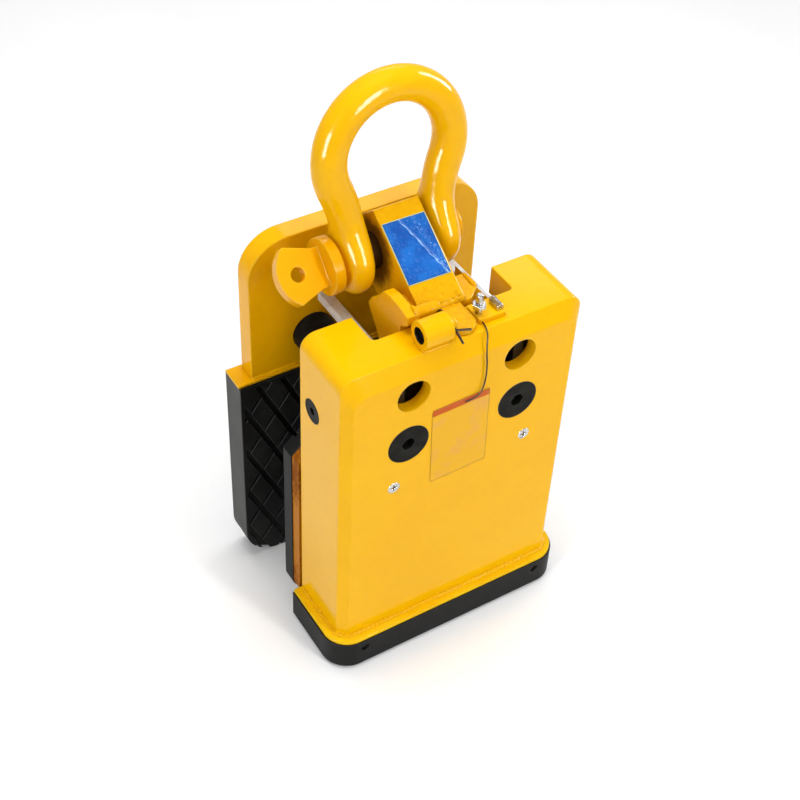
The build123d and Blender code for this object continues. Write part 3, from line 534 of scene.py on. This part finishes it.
# Nodes that aren't named here are oiled steel, inside the housing
finishOf = {
    "housing_shell": yellowEnamel,
    "base_flange": flangeEnamel,
    "lifting_block": spatteredEnamel,
    "catch_plate": jawEnamel,
    "catch_rod": spatteredEnamel,
    "latch_barrel": barrelFinish,
    "latch_bolt": boltFinish,
    "stop_bracket": yellowEnamel,
    "shackle_bow": forgedEnamel,
    "shackle_pin": pinEnamel,
    "rear_jaw_plate": jawEnamel,
    "rear_pad_ledge": jawEnamel,
    "pad_plate": padEnamel,
    "bumper_strip": blackRubber,
    "rear_pad_rubber": bootRubber,
    "pad_rubber": blackRubber,
    "connecting_posts": metalFinish["black_oxide"],
    "post_screws": metalFinish["black_oxide"],
    "rear_post_screws": metalFinish["black_oxide"],
    "side_screws": metalFinish["black_oxide"],
    "bumper_screws": metalFinish["black_oxide"],
    "guide_cheeks": cheekFinish,
    "guide_screws": metalFinish["zinc_plate"],
    "stop_bolt": metalFinish["zinc_plate"],
    "stop_nut": metalFinish["zinc_plate"],
    "stop_pin": metalFinish["zinc_plate"],
    "axle_rings": metalFinish["zinc_plate"],
    "pad_bushes": metalFinish["turned_bronze"],
    "latch_cotter": metalFinish["dulled_wire"],
    "safety_wire": metalFinish["dulled_wire"],
}
for name, part in parts.items():
    part.data.materials.clear()
    part.data.materials.append(finishOf.get(name, metalFinish["oiled_steel"]))
print("finishes put on the frame")


def gridFaces(rows, columns):
    # quads between neighbouring rows, with the last column joined to the first
    row, column = np.meshgrid(np.arange(rows - 1), np.arange(columns), indexing="ij")
    after = (column + 1) % columns
    corners = [row * columns + column, row * columns + after]
    corners += [(row + 1) * columns + after, (row + 1) * columns + column]
    return np.stack(corners, -1).reshape(-1, 4)


def closedSurface(rings, start, end):
    # rings of points, row by row, shut at both ends by a fan to one point
    rows, columns = rings.shape[:2]
    points = np.concatenate([rings.reshape(-1, 3), [start, end]])
    quads = gridFaces(rows, columns)
    column = np.arange(columns)
    after = (column + 1) % columns
    last = (rows - 1) * columns
    first = np.stack([after, column, np.full(columns, rows * columns)], -1)
    final = np.stack([last + column, last + after, np.full(columns, rows * columns + 1)], -1)
    fans = np.concatenate([first, final])
    # six times the volume inside: the sum of a x b . c over the triangles
    a, b, c, d = (points[quads[:, i]] for i in range(4))
    volume = (np.cross(a, b) * c).sum() + (np.cross(a, c) * d).sum()
    a, b, c = (points[fans[:, i]] for i in range(3))
    volume += (np.cross(a, b) * c).sum()
    if volume < 0:  # inside out
        quads, fans = quads[:, ::-1], fans[:, ::-1]
    return points, quads.tolist() + fans.tolist()


def addPiece(name, points, faces, material, body):
    mesh = bpy.data.meshes.new(name)
    mesh.from_pydata(points.tolist(), [], faces)
    mesh.polygons.foreach_set("use_smooth", np.ones(len(faces), bool))
    mesh.materials.append(material)
    piece = bpy.data.objects.new(name, mesh)
    scene.collection.objects.link(piece)
    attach(piece, body)
    return piece


# Weld beads under the enamel, each along the corner that it fills
weld = {
    "pitch": 1.6,  # length of one pass of the torch, in thicknesses
    "ripple": 0.32,  # depth of the passes, as a share of the radius
    "trail": 0.3,  # how far a pass slants from side to side, in passes
    "wander": 0.12,
    "waves": (310.0, 97.0),  # radians in a metre of bead
    "roundEnd": 1.5,  # length of an end, in thicknesses
    "step": 0.0006,
    "fewest": 8,  # points along the shortest bead
    "around": 14,
}


def beadSurface(path, up, thick, sizes):
    # a round section carried along the path: at the length s along it and the angle a round it,
    # the radius is thick * end * (1 + wander * slow sine * slower sine) * (1 - ripple + ripple * |sine|),
    # where the sine is of pi * (s / pitch + trail * cos a), and end is a quarter circle from 0 up to 1
    # at both ends
    path = np.array(path, float)
    run = np.concatenate([[0.0], np.cumsum(np.linalg.norm(np.diff(path, axis=0), axis=1))])
    count = max(sizes["fewest"], int(run[-1] / sizes["step"]))
    along = np.linspace(0.0, run[-1], count)[1:-1]
    centre = np.stack([np.interp(along, run, path[:, axis]) for axis in range(3)], -1)
    tangent = np.gradient(centre, axis=0)
    tangent /= np.linalg.norm(tangent, axis=1, keepdims=True)
    side = np.cross(tangent, np.array(up, float))
    side /= np.linalg.norm(side, axis=1, keepdims=True)
    over = np.cross(side, tangent)
    angle = np.linspace(0.0, 2 * np.pi, sizes["around"], endpoint=False)
    lap = along[:, None] / (sizes["pitch"] * thick) + sizes["trail"] * np.cos(angle)
    passes = 1 - sizes["ripple"] + sizes["ripple"] * np.abs(np.sin(np.pi * lap))
    slow, slower = sizes["waves"]
    wander = 1 + sizes["wander"] * np.sin(along * slow) * np.sin(along * slower)
    near = np.minimum(along, run[-1] - along) / (sizes["roundEnd"] * thick)
    end = np.sqrt(1 - (1 - np.minimum(near, 1.0)) ** 2)
    radius = thick * (end * wander)[:, None] * passes
    across = np.cos(angle)[:, None] * side[:, None, :] + np.sin(angle)[:, None] * over[:, None, :]
    rings = centre[:, None, :] + radius[..., None] * across
    return closedSurface(rings, path[0], path[-1])


# Corners that the beads follow: chamfer of the housing, steps of the lifting block, rings and edges
seam = {
    "chamfer": 0.007,
    "footShort": 0.004,  # the foot's bead stops this far from the open back
    "barrelOff": 0.0053,  # from the barrel's axis
    "barrelShort": 0.0005,
    "bracketOff": 0.0008,
    "bracketShort": 0.00025,
    "riserTop": 0.3068,
    "riserEnd": -0.01375,
    "riserFront": -0.031,
    "riserSide": 0.033,
    "neckFront": -0.03675,
    "catchFront": -0.038,
    "rodOff": 0.0002,
    "rodFrom": -1.2,  # the ring round the rod, in radians
    "rodTo": 4.6,
    "rodSteps": 40,
}
footZ = shellLow.z
footBack = backY - seam["footShort"]
footFront = frontY + seam["chamfer"]
footSide = half - seam["chamfer"]
footPath = [
    (-half, footBack, footZ),
    (-half, footFront, footZ),
    (-footSide, frontY, footZ),
    (footSide, frontY, footZ),
    (half, footFront, footZ),
    (half, footBack, footZ),
]
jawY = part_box("rear_jaw_plate")[0].y
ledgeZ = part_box("rear_pad_ledge")[1].z
ledgePath = [(-half, jawY, ledgeZ), (half, jawY, ledgeZ)]
barrelEnds = (barrelLow.x + seam["barrelShort"], barrelHigh.x - seam["barrelShort"])
barrelFront = [(x, latchAxis.y - seam["barrelOff"], rim) for x in barrelEnds]
barrelBack = [(x, latchAxis.y + seam["barrelOff"], rim) for x in barrelEnds]
bracketLow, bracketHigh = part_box("stop_bracket")
bracketEnds = (bracketLow.y + seam["bracketShort"], bracketHigh.y - seam["bracketShort"])
bracketPath = [(bracketHigh.x + seam["bracketOff"], y, rim) for y in bracketEnds]
neckPath = [
    (-neckHalf, seam["riserEnd"], seam["riserTop"]),
    (-neckHalf, seam["neckFront"], seam["riserTop"]),
    (neckHalf, seam["neckFront"], seam["riserTop"]),
    (neckHalf, seam["riserEnd"], seam["riserTop"]),
]
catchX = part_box("catch_plate")[1].x
catchPath = [(catchX, y, seam["riserTop"]) for y in (seam["catchFront"], seam["riserEnd"])]
riserPath = [(seam["riserSide"], y, seam["riserTop"]) for y in (seam["riserFront"], seam["riserEnd"])]
rodLow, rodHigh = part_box("catch_rod")
rodAxis, rodRadius = middleOf("catch_rod"), (rodHigh.z - rodLow.z) / 2
ring = np.linspace(seam["rodFrom"], seam["rodTo"], seam["rodSteps"])
ringY, ringZ = rodAxis.y + rodRadius * np.cos(ring), rodAxis.z + rodRadius * np.sin(ring)
rodPath = np.stack([np.full_like(ring, rodLow.x + seam["rodOff"]), ringY, ringZ], -1)

# each bead: body, thickness, path, and the way that its top faces
welds = {
    "foot_weld": ("frame", 0.0026, footPath, (0, 0, 1)),
    "ledge_weld": ("frame", 0.0020, ledgePath, (0, 0, 1)),
    "barrel_front_weld": ("frame", 0.0014, barrelFront, (0, 0, 1)),
    "barrel_back_weld": ("frame", 0.0014, barrelBack, (0, 0, 1)),
    "bracket_weld": ("frame", 0.0011, bracketPath, (0, 0, 1)),
    "neck_weld": ("lift", 0.0032, neckPath, (0, 0, 1)),
    "catch_weld": ("lift", 0.0024, catchPath, (0, 0, 1)),
    "rod_weld": ("lift", 0.0019, rodPath, (1, 0, 0)),
    "riser_weld": ("lift", 0.0022, riserPath, (0, 0, 1)),
}
for name, (body, thick, path, up) in welds.items():
    points, faces = beadSurface(path, up, thick, weld)
    finish = spatteredEnamel if body == "lift" else yellowEnamel
    addPiece(name, points, faces, finish, body)
print("welds laid,", len(welds), "beads")


# Shackle bow as one forged skin, with u across and v up from the pin's axis
bow = {
    "lean": 6.4,  # degrees
    "spread": 0.036,
    "straight": 0.010,
    "crown": 0.0486,
    "rise": 0.076,
    "limb": 0.0126,
    "lobe": 0.0265,
    "thick": 0.0127,
    "flare": 0.0225,
    "flarePower": 2.2,
    "tuck": 3.2,  # how the lobe thins towards its lower end
    "square": 0.35,  # how far the lobe's section leaves an ellipse
    "squareReach": 0.018,
    "waist": (-0.0005, 0.034, 0.012),  # height, place and reach of a swell
    "shoulder": (0.0004, 0.058, 0.016),
    "step": 0.001,
    "lobeRows": 28,
    "crownRows": 120,
    "around": 72,
}


def swell(v, height, place, reach):
    # a bell: height * exp(-((v - place) / reach)^2)
    return height * np.exp(-(((v - place) / reach) ** 2))


def bowLine(sizes):
    # the middle line from the left lobe to the right one: straight at the pin, out along an arc of
    # radius flank, over the crown's arc and down again; each row holds u, v and the line's direction
    spread, rise, crown = sizes["spread"], sizes["rise"], sizes["crown"]
    reach = rise - sizes["straight"]
    flank = (reach**2 + spread**2 - crown**2) / (2 * (crown - spread))
    turnEnd = np.arctan2(reach, spread + flank)
    join = rise - crown * np.sin(turnEnd)
    lower = -sizes["lobe"] * np.cos(np.linspace(0.0, np.pi / 2, sizes["lobeRows"])[1:-1])
    v = np.concatenate([lower, np.arange(0.0, join, sizes["step"])])
    turn = np.arcsin(np.maximum(v - sizes["straight"], 0.0) / flank)
    u = -(spread + flank - flank * np.cos(turn))
    limb = np.stack([u, v, -np.sin(turn), np.cos(turn)], -1)
    angle = np.linspace(np.pi + turnEnd, -turnEnd, sizes["crownRows"])
    arc = [crown * np.cos(angle), rise + crown * np.sin(angle), np.sin(angle), -np.cos(angle)]
    other = limb[::-1] * np.array([-1.0, 1.0, 1.0, -1.0])
    return np.concatenate([limb, np.stack(arc, -1), other])


def bowRings(sizes):
    # each section is a superellipse square to the middle line, half deep b and half wide a at the height v:
    # b = sqrt(lobe^2 - v^2) below the pin, limb + (lobe - limb) exp(-(v / flare)^2.2) above it,
    # a = thick (1 - (-v / lobe)^3.2)^(1 / 2.2) below the pin, thick above it, with two slight swells
    u, v, alongU, alongV = bowLine(sizes).T
    low, high = np.minimum(v, 0.0), np.maximum(v, 0.0)
    limb, lobe, bend = sizes["limb"], sizes["lobe"], sizes["flarePower"]
    flared = limb + (lobe - limb) * np.exp(-((high / sizes["flare"]) ** bend))
    deep = np.where(v < 0, np.sqrt(np.maximum(lobe**2 - low**2, 0.0)), flared)
    wide = sizes["thick"] * (1 - (-low / lobe) ** sizes["tuck"]) ** (1 / bend)
    wide = wide + swell(v, *sizes["waist"]) + swell(v, *sizes["shoulder"])
    power = 2 / (2 + swell(v, sizes["square"], 0.0, sizes["squareReach"]))
    angle = np.linspace(0.0, 2 * np.pi, sizes["around"], endpoint=False)
    cos, sin = np.cos(angle), np.sin(angle)
    ahead = deep[:, None] * np.sign(cos) * np.abs(cos) ** power[:, None]
    inward = wide[:, None] * np.sign(sin) * np.abs(sin) ** power[:, None]
    across = u[:, None] + inward * alongV[:, None]
    above = v[:, None] - inward * alongU[:, None]
    flat = np.stack([across, above, ahead], -1)
    lean = np.radians(sizes["lean"])
    axes = np.array([[1, 0, 0], [0, np.sin(lean), np.cos(lean)], [0, -np.cos(lean), np.sin(lean)]])
    ends = np.array([[-sizes["spread"], -lobe, 0.0], [sizes["spread"], -lobe, 0.0]])
    origin = np.array([bowMiddle, pinAxis.y, pinAxis.z])
    return flat @ axes + origin, ends @ axes + origin


rings, ends = bowRings(bow)
points, faces = closedSurface(rings, ends[0], ends[1])
shackleSkin = addPiece("shackle_skin", points, faces, forgedEnamel, "shackle")
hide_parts("shackle_bow")
print("shackle skinned")


def slabSurface(sizes, lift):
    # a rounded rectangle in rings from its middle, out along the under face and back over the upper one,
    # raised everywhere by lift(x, y); the rays are turned a hair, so that none meets a corner
    angle = np.linspace(0.0, 2 * np.pi, sizes["around"], endpoint=False) + 1e-4
    halves = np.array([sizes["width"], sizes["height"]]) / 2 - sizes["corner"]
    ray = np.stack([np.cos(angle), np.sin(angle)], -1)
    reach = np.min(halves / np.maximum(np.abs(ray), 1e-9), axis=1)
    core = ray * reach[:, None]
    out = np.sign(core) * (np.abs(core) >= halves - 1e-7)
    out = out / np.maximum(np.linalg.norm(out, axis=1, keepdims=True), 1e-9)
    edge = core + out * sizes["corner"]
    share = np.linspace(0.0, 1.0, sizes["rings"] + 1)[1:]
    under = edge[None] * share[:, None, None]
    flat = np.concatenate([under, under[::-1]])
    height = np.repeat([0.0, sizes["thickness"]], len(under))
    bent = lift(flat[..., 0], flat[..., 1])
    solid = np.concatenate([flat, (height[:, None] + bent)[..., None]], -1)
    middle = lift(np.zeros(1), np.zeros(1))[0]
    return solid, np.array([0, 0, middle]), np.array([0, 0, middle + sizes["thickness"]])


def placeSlab(solid, start, end, origin, right, up):
    # the slab's own x, y and z become right, up and outwards
    turn = np.stack([right, up, np.cross(right, up)])
    origin = np.array(origin, float)
    return closedSurface(solid @ turn + origin, start @ turn + origin, end @ turn + origin)


# Front plate: a bare foil, pale yellow with a red band along its top
foil = {
    "width": 0.0489,
    "height": 0.0742,
    "corner": 0.0008,
    "thickness": 0.00025,
    "around": 240,
    "rings": 24,
    "middle": (-0.00295, 0.21335),  # x and z
    "turn": 1.7,  # degrees
    "clear": 0.00012,
    "curl": (0.0005, 0.044, 0.018),  # height, start and reach of the lifted corner
    "ripple": (0.00006, 410.0, 260.0),
    "band": 0.0062,
    "bandBlur": 0.0002,
    "bandWear": 0.35,
    "border": (0.0007, 0.0003),
    "borderShare": 0.7,
    "fadeShare": 0.6,
    "fadeScale": 42.0,
    "scuffScale": 300.0,
    "scuffDepth": 0.00003,
    "gloss": 0.3,
    "glossSpread": 0.25,
    "ground": (0.75, 0.395, 0.006, 1),
    "faded": (0.70, 0.345, 0.08, 1),
    "bandColour": (0.52, 0.085, 0.002, 1),
    "borderColour": (0.42, 0.23, 0.015, 1),
}


def foilLift(x, y):
    # lies flat with a faint ripple, its top right corner curling off the paint as a parabola
    curl, start, reach = foil["curl"]
    ripple, waveX, waveY = foil["ripple"]
    corner = np.clip((x + y - start) / reach, 0, 1) ** 2
    return foil["clear"] + curl * corner + ripple * np.sin(x * waveX) * np.sin(y * waveY)


turn = np.radians(foil["turn"])
foilRight = np.array([np.cos(turn), 0, np.sin(turn)])
foilUp = np.array([-np.sin(turn), 0, np.cos(turn)])
foilMiddle = (foil["middle"][0], frontY, foil["middle"][1])


def foilRecipe(flow, place, sizes):
    x, y = onPlate(flow, place, foilMiddle, foilRight, foilUp)
    fadedMask = noise(flow, place, sizes["fadeScale"], 4.0, 0.6).fade(0.48, 0.66)
    scuff = noise(flow, place, sizes["scuffScale"], 4.0, 0.7)
    top = sizes["height"] / 2 - sizes["band"]
    band = y.fade(top - sizes["bandBlur"], top + sizes["bandBlur"])
    band = band * (1 - sizes["bandWear"] * scuff.fade(0.6, 0.7))
    halfWidth, halfHeight = sizes["width"] / 2, sizes["height"] / 2
    inner, outer = sizes["border"]
    edgeX = abs(x).fade(halfWidth - inner, halfWidth - outer)
    edgeY = abs(y).fade(halfHeight - inner, halfHeight - outer)
    border = edgeX.maths("MAXIMUM", edgeX, edgeY)
    ground = (fadedMask * sizes["fadeShare"]).mix(sizes["ground"], sizes["faded"])
    coloured = band.mix(ground, sizes["bandColour"])
    return {
        "Base Color": (border * sizes["borderShare"]).mix(coloured, sizes["borderColour"]),
        "Roughness": sizes["gloss"] + sizes["glossSpread"] * scuff,
        "Normal": bumped(flow, scuff, sizes["scuffDepth"]),
    }


foilFinish = makeFinish("front_foil", {"Specular IOR Level": 0.14}, foilRecipe, foil)
points, faces = placeSlab(*slabSurface(foil, foilLift), foilMiddle, foilRight, foilUp)
addPiece("front_foil", points, faces, foilFinish, "frame")

# Blue film on the block's sloping face, creased where it was smoothed down by hand
film = {
    "width": 0.0356,
    "height": 0.0484,
    "corner": 0.0006,
    "thickness": 0.0003,
    "around": 320,
    "rings": 48,
    "slope": 33.3,  # degrees, as turn is
    "foot": (0.0, 0.01183, 0.34188),  # a point on the sloping face
    "across": -0.0002,
    "along": -0.0159,
    "turn": -0.8,
    "clear": 0.00012,
    "crease": (0.00035, 0.0065, 0.42, 0.0007),  # height, place, slant and reach
    "fold": (0.00025, 0.0125, 0.30, 0.0012),
    "foldFade": 0.03,
    "pucker": (0.00004, 900.0, 700.0),  # height, waves across and up, in radians in a metre
    "sway": (3.0, 300.0),
    "blue": (0.0015, 0.075, 0.38, 1),
    "bright": (0.004, 0.13, 0.52, 1),
    "pale": (0.34, 0.60, 0.92, 1),
    "under": (0.001, 0.07, 0.22, 1),
    "underShare": 0.6,
    "rim": (0.55, 0.66, 0.36, 1),
    "cloudScale": 70.0,
    "fleckScale": (420.0, 260.0, 260.0),
    "wander": 0.0032,
    "wanderScale": 160.0,
    "fray": 0.0012,
    "slant": 0.42,
    "creaseLine": 0.0058,
    "creaseEdge": (0.0001, 0.0002, 0.0013),
    "crumpleSlant": 0.20,
    "crumple": 0.0118,
    "crumpleEdge": (0.0004, 0.0040),
    "lineScale": 1500.0,
    "lineStretch": 0.2,
    "creaseShare": 1.3,
    "creaseGap": 0.1,
    "crumpleShare": 0.6,
    "lineShare": 0.35,
    "smearLines": 0.5,
    "smearShare": 0.12,
    "smearAcross": (0.002, 0.012),
    "smearUp": (-0.022, -0.006),
    "rimEdge": (0.0002, 0.0007),
    "shadeEdge": (0.0005, 0.0022),
    "gloss": 0.22,
    "glossSpread": 0.3,
    "bump": 0.00012,
}


def filmLift(x, y):
    # a bell-shaped crease from the top to the lower right, a fold beside it that grows downwards,
    # and small puckers
    height, place, slant, reach = film["crease"]
    crease = swell(x + slant * y, height, place, reach)
    height, place, slant, reach = film["fold"]
    fold = swell(x + slant * y, height, place, reach) * np.clip(0.5 - y / film["foldFade"], 0, 1)
    height, waveX, waveY = film["pucker"]
    sway, swayWave = film["sway"]
    pucker = 1 + np.sin(x * waveX + sway * np.sin(y * swayWave)) * np.sin(y * waveY)
    return film["clear"] + crease + fold + height * pucker


slope = np.radians(film["slope"])
turn = np.radians(film["turn"])
level = np.array([1.0, 0, 0])
slopeUp = np.array([0, np.cos(slope), np.sin(slope)])
filmRight = np.cos(turn) * level + np.sin(turn) * slopeUp
filmUp = np.cos(turn) * slopeUp - np.sin(turn) * level
filmMiddle = np.array(film["foot"]) + film["across"] * level + film["along"] * slopeUp


def filmRecipe(flow, place, sizes):
    x, y = onPlate(flow, place, filmMiddle, filmRight, filmUp)
    cloud = noise(flow, place, sizes["cloudScale"], 3.0)
    fleck = noise(flow, stretched(flow, place, sizes["fleckScale"]), 1.0, 4.0, 0.7)
    # ragged lines: the main crease, a crumpled band right of it, fine rubbing along both
    drift = noise(flow, place, sizes["wanderScale"], 2.0)
    wander = sizes["wander"] * (drift - 0.5) + sizes["fray"] * (fleck - 0.5)
    slanted = x + sizes["slant"] * y
    ragged = slanted + wander
    thin, wide, spread = sizes["creaseEdge"]
    crease = 1 - abs(ragged - sizes["creaseLine"]).fade(thin, wide + spread * fleck)
    beside = x + sizes["crumpleSlant"] * y + wander - sizes["crumple"]
    crumple = 1 - abs(beside).fade(*sizes["crumpleEdge"])
    hand = flow.node("CombineXYZ", {}, {0: slanted, 1: sizes["lineStretch"] * y})
    lines = noise(flow, hand, sizes["lineScale"], 3.0, 0.7)
    smear = ragged.fade(*sizes["smearAcross"]) * (1 - y.fade(*sizes["smearUp"]))
    rubbing = sizes["lineShare"] + sizes["smearLines"] * smear
    streak = crease * (sizes["creaseShare"] * lines - sizes["creaseGap"])
    streak = streak + crumple * lines.fade(0.5, 0.7) * sizes["crumpleShare"]
    streak = streak + lines.fade(0.5, 0.72) * rubbing + sizes["smearShare"] * smear
    # rim and shade from the distance to the nearest edge
    inX = sizes["width"] / 2 - abs(x)
    inY = sizes["height"] / 2 - abs(y)
    inside = inX.maths("MINIMUM", inX, inY)
    rimMask = 1 - inside.fade(*sizes["rimEdge"])
    shade = 1 - inside.fade(*sizes["shadeEdge"])
    base = cloud.fade(0.35, 0.65).mix(sizes["blue"], sizes["bright"])
    base = (shade * sizes["underShare"]).mix(base, sizes["under"])
    return {
        "Base Color": rimMask.mix(streak.fade(0.0, 1.0).mix(base, sizes["pale"]), sizes["rim"]),
        "Roughness": sizes["gloss"] + sizes["glossSpread"] * fleck,
        "Normal": bumped(flow, fleck + cloud, sizes["bump"]),
    }


filmFinish = makeFinish("blue_film", {"Specular IOR Level": 0.15}, filmRecipe, film)
points, faces = placeSlab(*slabSurface(film, filmLift), filmMiddle, filmRight, filmUp)
addPiece("blue_film", points, faces, filmFinish, "lift")
print("foil and film laid")

# Wire that hangs from the bracket down the front, on the route of its CAD solid
wire = {
    "route": [  # x, depth behind the front face, z
        (0.0175, 0.013, 0.304),
        (0.0165, 0.004, 0.305),
        (0.0115, -0.003, 0.294),
        (0.0144, -0.0025, 0.274),
        (0.0135, -0.002, 0.256),
        (0.008, -0.002, 0.2475),
        (-0.0018, -0.002, 0.2484),
    ],
    "radius": 0.0006,
    "length": 0.0795,
}
route = [(x, frontY + depth, z) for x, depth, z in wire["route"]]
line = bpy.data.curves.new("hanging_wire", "CURVE")
line.dimensions = "3D"
strand = line.splines.new("NURBS")
strand.points.add(len(route) - 1)
for point, place in zip(strand.points, route):
    point.co = (*place, 1.0)
strand.order_u = 3
strand.use_endpoint_u = True
strand.resolution_u = 12
line.bevel_depth = wire["radius"]
line.bevel_resolution = 4
line.use_fill_caps = True
line.materials.append(metalFinish["dulled_wire"])
hangingWire = bpy.data.objects.new("hanging_wire", line)
scene.collection.objects.link(hangingWire)
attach(hangingWire, "frame")
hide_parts("safety_wire")
print("wire hung")

# Stage: pale floor, soft boxes, camera where the photograph was taken
stage = {
    "reach": 6.0,
    "drop": 0.0003,
    "floor": (0.92, 0.92, 0.92, 1),
    "floorPale": (0.95, 0.95, 0.95, 1),
    "floorScale": 3.0,
    "sky": (1.0, 1.0, 1.0, 1),
    "skyPower": 0.45,
}


def floorRecipe(flow, place, sizes):
    grain = noise(flow, place, sizes["floorScale"], 2.0)
    return {"Base Color": grain.fade(0.2, 0.8).mix(sizes["floor"], sizes["floorPale"])}


reach = stage["reach"]
floorCorners = [(x * reach, y * reach, -stage["drop"]) for x, y in ((-1, -1), (1, -1), (1, 1), (-1, 1))]
floorMesh = bpy.data.meshes.new("pale_floor")
floorMesh.from_pydata(floorCorners, [], [(0, 1, 2, 3)])
floorMesh.materials.append(makeFinish("pale_floor", {"Roughness": 0.9}, floorRecipe, stage))
paleFloor = bpy.data.objects.new("pale_floor", floorMesh)
scene.collection.objects.link(paleFloor)

world = bpy.data.worlds.new("studio")
scene.world = world
world.use_nodes = True
background = world.node_tree.nodes["Background"]
background.inputs["Color"].default_value = stage["sky"]
background.inputs["Strength"].default_value = stage["skyPower"]

# The boxes give the light, the strips only show as streaks in the gloss
softBoxes = {
    "overhead": {"place": (0.1, 0.2, 1.9), "aim": (0, 0, 0.2), "size": (1.4, 1.2), "power": 25.0},
    "left_box": {"place": (-1.5, -0.5, 1.1), "aim": (0, 0, 0.25), "size": (0.16, 1.6), "power": 8.0},
    "front_box": {"place": (0.5, -1.6, 1.3), "aim": (0, 0, 0.25), "size": (0.18, 1.6), "power": 15.0},
    "left_strip": {"place": (-1.59, -0.59, 0.7), "aim": (0, 0, 0.7), "size": (0.5, 0.9), "power": 70.0},
    "front_strip": {"place": (0.33, -1.67, 0.95), "aim": (0, 0, 0.95), "size": (0.5, 0.8), "power": 58.0},
    "right_strip": {"place": (1.7, 0.0, 1.0), "aim": (0, 0, 1.0), "size": (0.4, 1.2), "power": 50.0},
    "back_strip": {"place": (1.0, 1.65, 1.6), "aim": (0, 0.07, 0.39), "size": (1.0, 0.45), "power": 4.5},
}


def aimed(place, aim, roll=0.0):
    # a matrix with right, up and back as its columns: up is as near to +Z as it can be, then rolled
    # by so many degrees
    back = np.array(place, float) - np.array(aim, float)
    back /= np.linalg.norm(back)
    right = np.cross((0.0, 0.0, 1.0), back)
    right /= np.linalg.norm(right)
    cos, sin = np.cos(np.radians(roll)), np.sin(np.radians(roll))
    matrix = np.eye(4)
    matrix[:3, :3] = np.stack([right, np.cross(back, right), back], -1)
    matrix[:3, :2] = matrix[:3, :2] @ np.array([[cos, -sin], [sin, cos]])
    matrix[:3, 3] = place
    return Matrix(matrix.tolist())


for name, box in softBoxes.items():
    lamp = bpy.data.lights.new(name, "AREA")
    lamp.shape = "RECTANGLE"
    lamp.size, lamp.size_y = box["size"]
    lamp.energy = box["power"]
    holder = bpy.data.objects.new(name, lamp)
    scene.collection.objects.link(holder)
    holder.visible_diffuse = not name.endswith("strip")
    holder.visible_glossy = name.endswith("strip")
    holder.matrix_world = aimed(box["place"], box["aim"])

camera = {
    "place": (-0.46263, -0.68681, 0.97584),
    "aim": (0.0, 0.00905, 0.1765),
    "roll": 3.173,
    "lens": 66.579,
    "sensor": 36.0,
}
lens = bpy.data.cameras.new("photo_camera")
lens.lens = camera["lens"]
lens.sensor_width = camera["sensor"]
photoCamera = bpy.data.objects.new("photo_camera", lens)
scene.collection.objects.link(photoCamera)
photoCamera.matrix_world = aimed(camera["place"], camera["aim"], camera["roll"])
scene.camera = photoCamera
scene.view_settings.view_transform = "Standard"
print("stage set")
